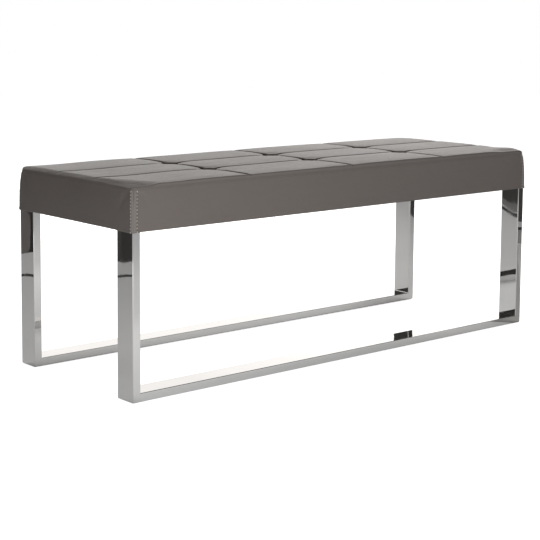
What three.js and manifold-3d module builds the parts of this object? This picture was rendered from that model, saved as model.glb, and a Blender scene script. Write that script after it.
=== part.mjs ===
// Upholstered bench: a tufted seat on two closed loops of flat polished tube.
// Millimetres. X runs along the bench, Y from front to rear, Z up from the floor.
import * as THREE from "three";
import { mergeVertices } from "three/addons/utils/BufferGeometryUtils.js";
import Module from "manifold-3d";

const wasm = await Module();
wasm.setup();

// Clearance between pieces that rest on or pass through each other
const fitGap = 0.3;
// How far a cutting tool runs past the face that it cuts
const overrun = 5;
const roundSegments = 20;

// Leg loops, measured over the outer faces of the tubes
const frameLength = 1217;
const frameDepth = 434.6;
const loopHeight = 370.5;
const tubeDepth = 55;
const tubeThickness = 19;
const tubeWall = 1.5;
const tubeEdgeRadius = 2;
const tubeInnerRadius = 0.5;
const tubeEdgeSteps = 3;

// Floor glides
const glideHeight = 1.5;
const glideRadius = 10;
const glideBevel = 0.4;
const glideInset = 45;

// Seat board, and the battens under it
const boardThickness = 18;
const battenWidth = 22;

// Cover: its skirt hangs past the top rails, and leans in towards the top
const coverThickness = 1.2;
const coverOverhang = 3;
const boxingDraw = 8;
const hemTurn = 16;
const legNotch = 2;
const boxingLevelShares = [0, 0.25, 0.5, 0.7, 0.86, 1];

// Pad: its height above the board, up to the seam round the top
const padHeight = 49.5;
const padLevelShares = [0, 0.6];

// Top: sewn panels, their swell, the rolled edge and the pulled tufts
const columns = 4;
const rows = 3;
const seamRise = 5;
const crownRise = 5.5;
const crownPower = 3;
const edgeRoll = 22;
const edgeRollSteps = 3;
const tuftDepth = 16;
const tuftReach = 30;
const columnShares = [0, 0.05, 0.15, 0.35, 0.65, 0.85, 0.95, 1];
const rowShares = [0, 0.09, 0.25, 0.5, 0.75, 0.91, 1];

// Tuft ties and their anchors
const tieRadius = 1.2;
const tieKnotRadius = 2;
const tieKnotHeight = 3;
const tieHoleRadius = 2.6;
const tieSegments = 8;
const anchorRadius = 11;
const anchorThickness = 3;
const anchorHoleRadius = 1.6;

// Dust cover
const dustCoverThickness = 0.8;

// Seat bolts and tee nuts
const boltRadius = 3;
const boltHeadRadius = 6;
const boltHeadHeight = 2.5;
const boltTipSetback = 2;
const boltSpanShares = [-0.42, 0, 0.42];
const nutBarrelRadius = 4.2;
const nutBarrelLength = 12;
const nutFlangeRadius = 10;
const nutFlangeThickness = 1.2;

// Heights that follow from the sizes above
const loopTop = glideHeight + loopHeight;
const railUnderside = loopTop - tubeThickness;
const hemBottom = railUnderside - coverThickness - fitGap;
const boardBottom = loopTop + fitGap;
const boardTop = boardBottom + boardThickness;
const seamHeight = boardTop + padHeight;

// Half sizes of the cover at its hem, and of the top at the seam round it
const hemHalf = new THREE.Vector2(frameLength / 2 + coverOverhang, frameDepth / 2 + coverOverhang);
const topHalf = hemHalf.clone().subScalar(boxingDraw);
const railCentre = frameDepth / 2 - tubeDepth / 2;

const finishes = {
  chrome: new THREE.MeshStandardMaterial({ color: 0xb4b3b0, roughness: 0.12, metalness: 1 }),
  leatherette: new THREE.MeshStandardMaterial({ color: 0x8f8a84, roughness: 0.5, metalness: 0 }),
  foam: new THREE.MeshStandardMaterial({ color: 0xd9cfa8, roughness: 0.95, metalness: 0 }),
  plywood: new THREE.MeshStandardMaterial({ color: 0xb08a5c, roughness: 0.8, metalness: 0 }),
  pine: new THREE.MeshStandardMaterial({ color: 0xc9a06a, roughness: 0.8, metalness: 0 }),
  cambric: new THREE.MeshStandardMaterial({ color: 0x222222, roughness: 0.95, metalness: 0 }),
  twine: new THREE.MeshStandardMaterial({ color: 0x6b665f, roughness: 0.9, metalness: 0 }),
  nylon: new THREE.MeshStandardMaterial({ color: 0x2c2c2e, roughness: 0.5, metalness: 0 }),
  zinc: new THREE.MeshStandardMaterial({ color: 0xa9acae, roughness: 0.4, metalness: 1 }),
};

const bench = new THREE.Group();

// Add one named piece to the bench, or to a group inside it
function addPiece(name, geometry, finish, parent = bench) {
  const mesh = new THREE.Mesh(geometry, finish);
  mesh.name = name;
  parent.add(mesh);
  return mesh;
}

// Join corner points and triangles into a closed surface
function surface(points, triangles) {
  const geometry = new THREE.BufferGeometry();
  geometry.setAttribute("position", new THREE.Float32BufferAttribute(points.flat(), 3));
  geometry.setIndex(triangles);
  geometry.computeVertexNormals();
  return geometry;
}

// Triangles of the band between two rings that each have count points
function band(from, to, count) {
  const triangles = [];
  for (let i = 0; i < count; i += 1) {
    const next = (i + 1) % count;
    triangles.push(from + i, from + next, to + next);
    triangles.push(from + i, to + next, to + i);
  }
  return triangles;
}

// A solid through sections of four points each, closed by a flat face at both ends
function fourSidedLoft(sections) {
  const triangles = [];
  for (let k = 0; k + 1 < sections.length; k += 1) {
    triangles.push(...band(4 * k, 4 * (k + 1), 4));
  }
  const last = 4 * (sections.length - 1);
  triangles.push(0, 2, 1, 0, 3, 2);
  triangles.push(last, last + 1, last + 2, last, last + 2, last + 3);
  return surface(sections.flat(), triangles);
}

// A rectangle with rounded corners, counter-clockwise from its right edge
function roundedRectangle(halfWidth, halfHeight, radius, steps) {
  const points = [];
  const corners = [[1, 1], [-1, 1], [-1, -1], [1, -1]];
  corners.forEach(([signX, signY], quarter) => {
    for (let k = 0; k <= steps; k += 1) {
      const angle = (quarter + k / steps) * Math.PI / 2;
      points.push([
        signX * (halfWidth - radius) + radius * Math.cos(angle),
        signY * (halfHeight - radius) + radius * Math.sin(angle),
      ]);
    }
  });
  return points;
}

// Turn a three.js geometry into a solid for cutting
function solid(geometry) {
  const bare = geometry.clone();
  bare.deleteAttribute("normal");
  if (bare.getAttribute("uv")) bare.deleteAttribute("uv");
  const merged = mergeVertices(bare);
  return new wasm.Manifold(new wasm.Mesh({
    numProp: 3,
    vertProperties: new Float32Array(merged.getAttribute("position").array),
    triVerts: new Uint32Array(merged.getIndex().array),
  }));
}

// Turn a cut solid back into a three.js geometry
function geometryOf(manifold) {
  const mesh = manifold.getMesh();
  const geometry = new THREE.BufferGeometry();
  geometry.setAttribute("position", new THREE.BufferAttribute(mesh.vertProperties, 3));
  geometry.setIndex(new THREE.BufferAttribute(mesh.triVerts, 1));
  geometry.computeVertexNormals();
  return geometry;
}

// An upright drill of the given radius between two heights
function drill(x, y, bottom, top, radius) {
  const geometry = new THREE.CylinderGeometry(radius, radius, top - bottom, roundSegments);
  geometry.rotateX(Math.PI / 2);
  geometry.translate(x, y, (top + bottom) / 2);
  return geometry;
}

function cut(geometry, tools) {
  const cutters = tools.map(solid);
  return geometryOf(cutters.reduce((body, cutter) => body.subtract(cutter), solid(geometry)));
}

// A turned piece with its axis along Z, from a profile of [radius, height] points
function turned(profile, segments = roundSegments) {
  const outline = profile.map(([radius, height]) => new THREE.Vector2(radius, height));
  const geometry = new THREE.LatheGeometry(outline, segments);
  geometry.rotateX(Math.PI / 2);
  return geometry;
}

function block(sizeX, sizeY, sizeZ) {
  return new THREE.BoxGeometry(sizeX, sizeY, sizeZ);
}

// The same place on each side: front and rear along Y, left and right along X
const sides = [["front", -1], ["rear", 1]];
const ends = [["left", -1], ["right", 1]];

// Places of the seat bolts along a top rail
function boltPlaces() {
  return boltSpanShares.map((share) => share * frameLength);
}

// Crossings of the top's seams, where the tufts are pulled
function tuftPlaces() {
  const places = [];
  for (let row = 1; row < rows; row += 1) {
    for (let column = 1; column < columns; column += 1) {
      const x = (column / columns * 2 - 1) * topHalf.x;
      const y = (row / rows * 2 - 1) * topHalf.y;
      places.push({ name: `r${row}_c${column}`, x, y });
    }
  }
  return places;
}

// A hollow flat tube with mitred ends. It lies along X with its outer face at height zero
// and its inner face below, so the mitres run in from the ends at 45 degrees.
function mitredTube(length) {
  const halfDepth = tubeDepth / 2;
  const halfThickness = tubeThickness / 2;
  const outer = roundedRectangle(halfDepth, halfThickness, tubeEdgeRadius, tubeEdgeSteps);
  const inner = roundedRectangle(
    halfDepth - tubeWall, halfThickness - tubeWall, tubeInnerRadius, tubeEdgeSteps);
  const count = outer.length;
  const ring = (section, end) => section.map(([y, z]) => {
    const drop = z - halfThickness;
    return [end * (length / 2 + drop - fitGap / 2), y, drop];
  });
  const points = [...ring(outer, -1), ...ring(outer, 1), ...ring(inner, 1), ...ring(inner, -1)];
  const triangles = [];
  for (let k = 0; k < 4; k += 1) {
    triangles.push(...band(count * k, count * ((k + 1) % 4), count));
  }
  return surface(points, triangles);
}

// One closed loop: two legs, a floor rail and a top rail, mitred at the corners
function addLoop(side, sign) {
  const loop = new THREE.Group();
  loop.position.set(0, sign * railCentre, glideHeight);
  bench.add(loop);
  const floorRail = addPiece(`${side}_floor_rail`, mitredTube(frameLength), finishes.chrome, loop);
  floorRail.rotation.x = Math.PI;
  const boltHoles = boltPlaces().map(
    (x) => drill(x, 0, -tubeThickness - overrun, overrun, boltRadius + fitGap));
  const drilledTube = cut(mitredTube(frameLength), boltHoles);
  const topRail = addPiece(`${side}_top_rail`, drilledTube, finishes.chrome, loop);
  topRail.position.z = loopHeight;
  for (const [end, endSign] of ends) {
    const leg = addPiece(`${side}_leg_${end}`, mitredTube(loopHeight), finishes.chrome, loop);
    leg.rotation.y = endSign * Math.PI / 2;
    leg.position.set(endSign * frameLength / 2, 0, loopHeight / 2);
  }
}

// Low pads with a bevelled lower edge, under the ends of the floor rails
function addGlides() {
  const top = glideHeight - fitGap;
  const profile = [
    [0, 0], [glideRadius - glideBevel, 0], [glideRadius, glideBevel], [glideRadius, top], [0, top],
  ];
  for (const [side, sign] of sides) {
    for (const [end, endSign] of ends) {
      const glide = addPiece(`floor_glide_${side}_${end}`, turned(profile), finishes.nylon);
      glide.position.set(endSign * (frameLength / 2 - glideInset), sign * railCentre, 0);
    }
  }
}

// Half length and half depth of the cover's outside at a height
function coverHalf(height) {
  const climb = (height - hemBottom) / (seamHeight - hemBottom);
  return hemHalf.clone().subScalar(boxingDraw * climb * climb);
}

// Plywood board: holes for the ties, and stepped holes for the tee nuts
function addSeatBoard() {
  const half = coverHalf(boardTop).subScalar(coverThickness + fitGap);
  const board = block(2 * half.x, 2 * half.y, boardThickness);
  board.translate(0, 0, boardBottom + boardThickness / 2);
  const tools = [];
  for (const { x, y } of tuftPlaces()) {
    tools.push(drill(x, y, boardBottom - overrun, boardTop + overrun, tieHoleRadius));
  }
  const recess = boardTop - nutFlangeThickness - fitGap;
  for (const [, sign] of sides) {
    for (const x of boltPlaces()) {
      const y = sign * railCentre;
      tools.push(drill(x, y, boardBottom - overrun, boardTop + overrun, nutBarrelRadius + fitGap));
      tools.push(drill(x, y, recess, boardTop + overrun, nutFlangeRadius + fitGap));
    }
  }
  addPiece("seat_board", cut(board, tools), finishes.plywood);
}

// Battens under the board, flush with the rails: two along it and two across its ends
function addBattens() {
  const height = tubeThickness - fitGap;
  const middle = loopTop - tubeThickness / 2;
  const innerDepth = frameDepth / 2 - tubeDepth - fitGap;
  for (const [side, sign] of sides) {
    const length = frameLength - 2 * (battenWidth + fitGap);
    const batten = addPiece(`batten_${side}`, block(length, battenWidth, height), finishes.pine);
    batten.position.set(0, sign * (innerDepth - battenWidth / 2), middle);
  }
  for (const [end, sign] of ends) {
    const batten = addPiece(`batten_${end}`, block(battenWidth, 2 * innerDepth, height), finishes.pine);
    batten.position.set(sign * (frameLength - battenWidth) / 2, 0, middle);
  }
}

// Rolled edge: nothing at the seam round the top, full height once past the roll
function edgeRise(distance) {
  if (distance >= edgeRoll) return 1;
  const share = 1 - Math.max(distance, 0) / edgeRoll;
  return Math.sqrt(1 - share * share);
}

// Swell of a panel along one direction, left full towards the outside of the top
function swell(place, half, count) {
  const panelSize = 2 * half / count;
  const index = Math.min(Math.max(Math.floor((place + half) / panelSize), 0), count - 1);
  const share = (place + half) / panelSize - index;
  if (index === 0 && share < 0.5) return 1;
  if (index === count - 1 && share > 0.5) return 1;
  return 1 - Math.abs(2 * share - 1) ** crownPower;
}

// Pull of the tufts on the top
function tuftPull(x, y) {
  return tuftPlaces().reduce((pull, tuft) => {
    const reach = Math.hypot(x - tuft.x, y - tuft.y) / tuftReach;
    return pull + tuftDepth * Math.exp(-reach * reach);
  }, 0);
}

// A point of the tufted top, moved inwards from the cover's outside by inset
function topPoint(x, y, inset) {
  const riseX = edgeRise(topHalf.x - Math.abs(x));
  const riseY = edgeRise(topHalf.y - Math.abs(y));
  const crown = crownRise * swell(x, topHalf.x, columns) * swell(y, topHalf.y, rows);
  const height = seamRise + crown - tuftPull(x, y);
  return [
    x - Math.sign(x) * inset * (1 - riseX),
    y - Math.sign(y) * inset * (1 - riseY),
    seamHeight + riseX * riseY * (height - inset),
  ];
}

// Grid lines across one panel, closer together at its seams and round the rolled edge
function panelLines(index, count, half, shares) {
  const size = 2 * half / count;
  const start = index * size - half;
  const lines = shares.map((share) => start + share * size);
  const roll = [];
  for (let k = 0; k <= edgeRollSteps; k += 1) {
    roll.push(edgeRoll * (1 - Math.cos(k / edgeRollSteps * Math.PI / 2)));
  }
  const beyondRoll = (line) => half - Math.abs(line) > edgeRoll + fitGap;
  const inside = lines.filter((line) => beyondRoll(line));
  if (index === 0) return [...roll.map((step) => step - half), ...inside];
  if (index === count - 1) return [...inside, ...roll.reverse().map((step) => half - step)];
  return lines;
}

// The rim of a grid of points, counter-clockwise seen from above
function rimOf(countX, countY) {
  const rim = [];
  for (let i = 0; i < countX - 1; i += 1) rim.push(i);
  for (let j = 0; j < countY - 1; j += 1) rim.push(j * countX + countX - 1);
  for (let i = countX - 1; i > 0; i -= 1) rim.push((countY - 1) * countX + i);
  for (let j = countY - 1; j > 0; j -= 1) rim.push(j * countX);
  return rim;
}

// Triangles over a grid of points, facing up
function gridTriangles(countX, countY) {
  const triangles = [];
  for (let j = 0; j + 1 < countY; j += 1) {
    for (let i = 0; i + 1 < countX; i += 1) {
      const corner = j * countX + i;
      triangles.push(corner, corner + 1, corner + countX + 1);
      triangles.push(corner, corner + countX + 1, corner + countX);
    }
  }
  return triangles;
}

// One sewn panel of the top: an outside and an inside surface joined round the rim
function topPanel(linesX, linesY) {
  const outside = linesY.flatMap((y) => linesX.map((x) => topPoint(x, y, 0)));
  const inside = linesY.flatMap((y) => linesX.map((x) => topPoint(x, y, coverThickness)));
  const upper = gridTriangles(linesX.length, linesY.length);
  const lower = upper.map((corner) => corner + outside.length).reverse();
  const rim = rimOf(linesX.length, linesY.length);
  const wall = rim.flatMap((corner, k) => {
    const next = rim[(k + 1) % rim.length];
    const under = corner + outside.length;
    const nextUnder = next + outside.length;
    return [under, nextUnder, next, under, next, corner];
  });
  return surface([...outside, ...inside], [...upper, ...lower, ...wall]);
}

// Draw a panel's edge lines back from the seams that it shares with its neighbours
function clearOfSeams(lines, index, count) {
  const drawn = [...lines];
  if (index > 0) drawn[0] += fitGap / 2;
  if (index < count - 1) drawn[drawn.length - 1] -= fitGap / 2;
  return drawn;
}

function addTopPanels() {
  for (let row = 0; row < rows; row += 1) {
    for (let column = 0; column < columns; column += 1) {
      const linesX = clearOfSeams(panelLines(column, columns, topHalf.x, columnShares), column, columns);
      const linesY = clearOfSeams(panelLines(row, rows, topHalf.y, rowShares), row, rows);
      addPiece(`top_panel_r${row + 1}_c${column + 1}`, topPanel(linesX, linesY), finishes.leatherette);
    }
  }
}

// All grid lines across the top, with each shared seam line once
function allLines(count, half, shares) {
  const lines = [];
  for (let index = 0; index < count; index += 1) {
    const panel = panelLines(index, count, half, shares);
    lines.push(...(index === 0 ? panel : panel.slice(1)));
  }
  return lines;
}

// Foam pad: the tufted top, sides that draw in with the skirt, and a flat underside
function foamPad() {
  const inset = coverThickness + fitGap;
  const linesX = allLines(columns, topHalf.x, columnShares);
  const linesY = allLines(rows, topHalf.y, rowShares);
  const points = linesY.flatMap((y) => linesX.map((x) => topPoint(x, y, inset)));
  const triangles = gridTriangles(linesX.length, linesY.length);
  const rim = rimOf(linesX.length, linesY.length);
  const rimPoints = rim.map((corner) => points[corner]);
  const bottom = boardTop + fitGap;
  const rings = padLevelShares.map((share) => bottom + share * (seamHeight - bottom));
  const first = points.length;
  for (const height of rings) {
    const half = coverHalf(height).subScalar(inset);
    const scaleX = half.x / (topHalf.x - inset);
    const scaleY = half.y / (topHalf.y - inset);
    points.push(...rimPoints.map(([x, y]) => [x * scaleX, y * scaleY, height]));
  }
  const ringStart = (k) => first + k * rim.length;
  for (let k = 0; k + 1 < rings.length; k += 1) {
    triangles.push(...band(ringStart(k), ringStart(k + 1), rim.length));
  }
  const topRing = ringStart(rings.length - 1);
  rim.forEach((corner, k) => {
    const nextK = (k + 1) % rim.length;
    triangles.push(topRing + k, topRing + nextK, rim[nextK]);
    triangles.push(topRing + k, rim[nextK], corner);
  });
  const outline = rim.map((_, k) => new THREE.Vector2(points[first + k][0], points[first + k][1]));
  for (const [a, b, c] of THREE.ShapeUtils.triangulateShape(outline, [])) {
    triangles.push(first + a, first + c, first + b);
  }
  return surface(points, triangles);
}

function addFoamPad() {
  const tools = tuftPlaces().map(
    ({ x, y }) => drill(x, y, boardTop - overrun, seamHeight + overrun, tieHoleRadius));
  addPiece("foam_pad", cut(foamPad(), tools), finishes.foam);
}

// Join a skirt panel's wall to the hem that turns in under the seat
function withHem(wall, hem) {
  return geometryOf(solid(wall).add(solid(hem)));
}

// Skirt panels: front and rear run the full length, left and right fit between them
function addBoxing() {
  const top = seamHeight - fitGap;
  const levels = boxingLevelShares.map((share) => hemBottom + share * (top - hemBottom));
  const hemDepth = coverThickness / 2 + hemTurn;
  const hemMiddle = hemBottom + coverThickness / 2;
  const longHem = frameLength - 2 * (tubeThickness + legNotch);
  const shortHem = frameDepth - 2 * (tubeDepth + legNotch);
  for (const [side, sign] of sides) {
    const sections = levels.map((height) => {
      const half = coverHalf(height);
      const outer = sign * half.y;
      const inner = sign * (half.y - coverThickness);
      const low = Math.min(outer, inner);
      const high = Math.max(outer, inner);
      return [[-half.x, low, height], [half.x, low, height], [half.x, high, height], [-half.x, high, height]];
    });
    const hem = block(longHem, hemDepth, coverThickness);
    hem.translate(0, sign * (hemHalf.y - coverThickness / 2 - hemDepth / 2), hemMiddle);
    addPiece(`boxing_${side}`, withHem(fourSidedLoft(sections), hem), finishes.leatherette);
  }
  for (const [end, sign] of ends) {
    const sections = levels.map((height) => {
      const half = coverHalf(height);
      const outer = sign * half.x;
      const inner = sign * (half.x - coverThickness);
      const low = Math.min(outer, inner);
      const high = Math.max(outer, inner);
      const reach = half.y - coverThickness - fitGap;
      return [[low, -reach, height], [high, -reach, height], [high, reach, height], [low, reach, height]];
    });
    const hem = block(hemDepth, shortHem, coverThickness);
    hem.translate(sign * (hemHalf.x - coverThickness / 2 - hemDepth / 2), 0, hemMiddle);
    addPiece(`boxing_${end}`, withHem(fourSidedLoft(sections), hem), finishes.leatherette);
  }
}

// Dust cover under the battens, inside the turned hem at the ends
function addDustCover() {
  const length = 2 * (hemHalf.x - coverThickness - hemTurn - fitGap);
  const depth = frameDepth - 2 * (tubeDepth + fitGap);
  const cover = addPiece("dust_cover", block(length, depth, dustCoverThickness), finishes.cambric);
  cover.position.z = railUnderside - dustCoverThickness / 2 - fitGap / 2;
}

// Tuft ties: knotted under the cover and below the anchor buttons
function addTufts() {
  const anchorTop = boardBottom - fitGap;
  const anchorBottom = anchorTop - anchorThickness;
  const knotTop = anchorBottom - fitGap;
  const button = [
    [anchorHoleRadius, anchorBottom], [anchorRadius, anchorBottom],
    [anchorRadius, anchorTop], [anchorHoleRadius, anchorTop], [anchorHoleRadius, anchorBottom],
  ];
  for (const { name, x, y } of tuftPlaces()) {
    const tieTop = topPoint(x, y, coverThickness + fitGap)[2];
    const tie = [
      [0, knotTop - tieKnotHeight], [tieKnotRadius, knotTop - tieKnotHeight], [tieKnotRadius, knotTop],
      [tieRadius, knotTop], [tieRadius, tieTop - tieKnotHeight],
      [tieKnotRadius, tieTop - tieKnotHeight], [tieKnotRadius, tieTop], [0, tieTop],
    ];
    addPiece(`tuft_tie_${name}`, turned(tie, tieSegments), finishes.twine).position.set(x, y, 0);
    addPiece(`tuft_anchor_${name}`, turned(button), finishes.nylon).position.set(x, y, 0);
  }
}

// Bolts up through the top rails into tee nuts let into the top of the board
function addSeatBolts() {
  const headTop = railUnderside - fitGap;
  const headBottom = headTop - boltHeadHeight;
  const tip = boardTop - boltTipSetback;
  const bolt = [
    [0, headBottom], [boltHeadRadius, headBottom], [boltHeadRadius, headTop],
    [boltRadius, headTop], [boltRadius, tip], [0, tip],
  ];
  const flangeBottom = boardTop - nutFlangeThickness;
  const bore = boltRadius + fitGap;
  const barrelBottom = boardTop - nutBarrelLength;
  const nut = [
    [bore, barrelBottom], [nutBarrelRadius, barrelBottom], [nutBarrelRadius, flangeBottom],
    [nutFlangeRadius, flangeBottom], [nutFlangeRadius, boardTop], [bore, boardTop], [bore, barrelBottom],
  ];
  for (const [side, sign] of sides) {
    boltPlaces().forEach((x, index) => {
      const y = sign * railCentre;
      addPiece(`seat_bolt_${side}_${index + 1}`, turned(bolt), finishes.zinc).position.set(x, y, 0);
      addPiece(`tee_nut_${side}_${index + 1}`, turned(nut), finishes.zinc).position.set(x, y, 0);
    });
  }
}

for (const [side, sign] of sides) addLoop(side, sign);
addGlides();
addSeatBoard();
addBattens();
addFoamPad();
addTopPanels();
addBoxing();
addDustCover();
addTufts();
addSeatBolts();

export default bench;
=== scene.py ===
"""Looks of the upholstered bench: a quilted leatherette seat on two polished loops of flat tube.

Lengths in the classes are in millimetres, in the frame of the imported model: X runs along the bench,
Y from front to rear, Z up from the floor. Meshes are made in metres.
"""
import sys

import logging
import math
from collections.abc import Callable, Sequence
from dataclasses import dataclass, field
from enum import Enum

import bmesh
import bpy
import numpy as np
from mathutils import Matrix, Vector


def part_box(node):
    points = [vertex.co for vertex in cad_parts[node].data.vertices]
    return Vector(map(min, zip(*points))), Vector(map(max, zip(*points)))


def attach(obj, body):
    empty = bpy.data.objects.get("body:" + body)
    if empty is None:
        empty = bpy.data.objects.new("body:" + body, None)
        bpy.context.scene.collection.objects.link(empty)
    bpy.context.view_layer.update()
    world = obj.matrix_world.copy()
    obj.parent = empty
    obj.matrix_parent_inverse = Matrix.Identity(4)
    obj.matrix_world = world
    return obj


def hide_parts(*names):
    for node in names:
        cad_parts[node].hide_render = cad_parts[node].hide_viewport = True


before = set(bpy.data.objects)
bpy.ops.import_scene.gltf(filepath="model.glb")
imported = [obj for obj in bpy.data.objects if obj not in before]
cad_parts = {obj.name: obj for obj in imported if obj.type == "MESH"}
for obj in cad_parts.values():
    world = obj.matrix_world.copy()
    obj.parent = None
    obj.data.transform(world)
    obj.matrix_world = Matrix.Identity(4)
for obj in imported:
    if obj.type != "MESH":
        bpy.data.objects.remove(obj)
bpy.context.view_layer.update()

log = logging.getLogger("bench")

METRES = 0.001
Colour = tuple[float, float, float]
Vectors = np.ndarray


class Slot(Enum):
    """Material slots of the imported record."""

    CHROME = "chrome"
    LEATHERETTE = "leatherette"
    FOAM = "foam"
    PLYWOOD = "plywood"
    PINE = "pine"
    CAMBRIC = "cambric"
    TWINE = "twine"
    NYLON = "nylon"
    ZINC = "zinc"


class Side(Enum):
    """The long sides of the bench, with their direction along Y."""

    FRONT = -1
    REAR = 1


# Node trees


class Nodes:
    """Adds nodes to one tree and joins them, so that a recipe reads from left to right."""

    def __init__(self, tree: bpy.types.NodeTree) -> None:
        """Start on an empty tree.

        Args:
            tree: The tree to fill. What it held is removed.
        """
        self.tree = tree
        tree.nodes.clear()

    def add(self, kind: str, inputs: dict | None = None, **settings: object) -> bpy.types.Node:
        """Add one node.

        Args:
            kind: Blender's name of the node type.
            inputs: Values or sockets for its inputs, by name or number.
            **settings: The node's own settings.

        Returns:
            The new node.
        """
        node = self.tree.nodes.new(kind)
        node.location = (200 * (len(self.tree.nodes) % 9), -220 * (len(self.tree.nodes) // 9))
        for name, value in settings.items():
            setattr(node, name, value)
        for name, value in (inputs or {}).items():
            self.feed(node.inputs[name], value)
        return node

    def feed(self, socket: bpy.types.NodeSocket, value: object) -> None:
        """Join a socket to another one, or set its value.

        Args:
            socket: The input to feed.
            value: A socket to join, or a plain value.
        """
        if isinstance(value, bpy.types.NodeSocket):
            self.tree.links.new(value, socket)
        elif isinstance(value, tuple) and len(value) == 3 and socket.type == "RGBA":
            socket.default_value = (*value, 1.0)
        else:
            socket.default_value = value

    def math(self, operation: str, *values: object, clamp: bool = False) -> bpy.types.NodeSocket:
        """Add a Math node and return its result.

        Args:
            operation: Blender's name of the operation.
            *values: One to three numbers or sockets.
            clamp: Keep the result between 0 and 1.

        Returns:
            The result socket.
        """
        node = self.add("ShaderNodeMath", operation=operation, use_clamp=clamp)
        for socket, value in zip(node.inputs, values):
            self.feed(socket, value)
        return node.outputs[0]

    def vector(self, operation: str, *values: object) -> bpy.types.NodeSocket:
        """Add a Vector Math node and return its vector.

        Args:
            operation: Blender's name of the operation.
            *values: Vectors or sockets.

        Returns:
            The result socket.
        """
        node = self.add("ShaderNodeVectorMath", operation=operation)
        for socket, value in zip(node.inputs, values):
            self.feed(socket, value)
        return node.outputs["Value" if operation == "DOT_PRODUCT" else "Vector"]

    def remap(self, value: object, low: float, high: float, to_low: float = 0.0,
              to_high: float = 1.0, kind: str = "SMOOTHSTEP") -> bpy.types.NodeSocket:
        """Map a range of values onto another one.

        Args:
            value: The value or socket to map.
            low: Start of the range read.
            high: End of the range read.
            to_low: Result at low.
            to_high: Result at high.
            kind: Blender's name of the interpolation.

        Returns:
            The result socket.
        """
        inputs = {"Value": value, "From Min": low, "From Max": high, "To Min": to_low, "To Max": to_high}
        return self.add("ShaderNodeMapRange", inputs, interpolation_type=kind).outputs[0]

    def mix(self, share: object, first: object, second: object, blend: str = "MIX") -> bpy.types.NodeSocket:
        """Mix two colours.

        Args:
            share: How much of the second, from 0 to 1.
            first: Colour or socket.
            second: Colour or socket.
            blend: Blender's name of the blend mode.

        Returns:
            The mixed colour's socket.
        """
        node = self.add("ShaderNodeMix", data_type="RGBA", blend_type=blend)
        self.feed(node.inputs[0], share)
        self.feed(node.inputs[6], first)
        self.feed(node.inputs[7], second)
        return node.outputs[2]

    def noise(self, vector: object, scale: object, detail: float = 3.0, rough: float = 0.5) -> bpy.types.NodeSocket:
        """Add a noise texture and return its value.

        Args:
            vector: Coordinates to read.
            scale: Grains per metre.
            detail: Number of finer layers.
            rough: Weight of the finer layers.

        Returns:
            The value's socket.
        """
        inputs = {"Vector": vector, "Scale": scale, "Detail": detail, "Roughness": rough}
        return self.add("ShaderNodeTexNoise", inputs).outputs[0]

    def stretched(self, vector: object, stretch: tuple[float, float, float]) -> bpy.types.NodeSocket:
        """Scale coordinates, so that a pattern runs along one direction.

        Args:
            vector: Coordinates to scale.
            stretch: Scale along X, Y and Z.

        Returns:
            The scaled coordinates' socket.
        """
        return self.add("ShaderNodeMapping", {"Vector": vector, "Scale": stretch}).outputs[0]

    def place(self) -> bpy.types.NodeSocket:
        """Return the socket of the object's own coordinates."""
        return self.add("ShaderNodeTexCoord").outputs["Object"]

    def attribute(self, name: str) -> bpy.types.NodeSocket:
        """Return the value of a number painted on the mesh, by its name."""
        return self.add("ShaderNodeAttribute", attribute_name=name).outputs["Fac"]

    def bump(self, height: object, distance: float, strength: float = 1.0,
             normal: object = None) -> bpy.types.NodeSocket:
        """Add a Bump node.

        Args:
            height: Height, from 0 to 1.
            distance: Depth of the relief in metres.
            strength: Share of the relief that is used.
            normal: Another bump's normal to build on.

        Returns:
            The normal's socket.
        """
        inputs = {"Height": height, "Distance": distance, "Strength": strength}
        if normal is not None:
            inputs["Normal"] = normal
        return self.add("ShaderNodeBump", inputs).outputs[0]


def shader_group(name: str, inputs: dict[str, float | None], outputs: Sequence[str],
                 recipe: Callable[[Nodes, dict], dict]) -> bpy.types.NodeTree:
    """Build a shader node group once, and find it again after that.

    Args:
        name: Name of the group.
        inputs: Default of each number by name, or None for a vector.
        outputs: Names of the values that it puts out.
        recipe: Fills the group: gets the nodes and the inputs by name, returns the outputs by name.

    Returns:
        The group.
    """
    if name in bpy.data.node_groups:
        return bpy.data.node_groups[name]
    tree = bpy.data.node_groups.new(name, "ShaderNodeTree")
    nodes = Nodes(tree)
    for label, default in inputs.items():
        kind = "NodeSocketVector" if default is None else "NodeSocketFloat"
        socket = tree.interface.new_socket(label, in_out="INPUT", socket_type=kind)
        if default is not None:
            socket.default_value = default
    for label in outputs:
        tree.interface.new_socket(label, in_out="OUTPUT", socket_type="NodeSocketFloat")
    entry = nodes.add("NodeGroupInput")
    results = recipe(nodes, {label: entry.outputs[label] for label in inputs})
    nodes.add("NodeGroupOutput", results)
    return tree


def pebble_grain() -> bpy.types.NodeTree:
    """Return the group of the pebbled surface that embossed sheet and moulded plastic share."""

    def recipe(nodes: Nodes, given: dict) -> dict:
        """Return the height of the pebbles and their valleys."""
        wobble = nodes.noise(given["Vector"], nodes.math("MULTIPLY", given["Scale"], 0.4), 2)
        moved = nodes.vector("ADD", given["Vector"], nodes.vector("MULTIPLY", wobble, (0.0008,) * 3))
        edge = nodes.add("ShaderNodeTexVoronoi", {"Vector": moved, "Scale": given["Scale"]},
                         feature="DISTANCE_TO_EDGE").outputs[0]
        pebble = nodes.remap(edge, 0.0, 0.22)
        fine = nodes.noise(given["Vector"], nodes.math("MULTIPLY", given["Scale"], 3.1), 2)
        height = nodes.math("ADD", nodes.math("MULTIPLY", pebble, 0.8), nodes.math("MULTIPLY", fine, 0.2))
        return {"Height": height, "Valley": nodes.math("SUBTRACT", 1.0, pebble)}

    return shader_group("pebble_grain", {"Vector": None, "Scale": 800.0}, ("Height", "Valley"), recipe)


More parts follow.
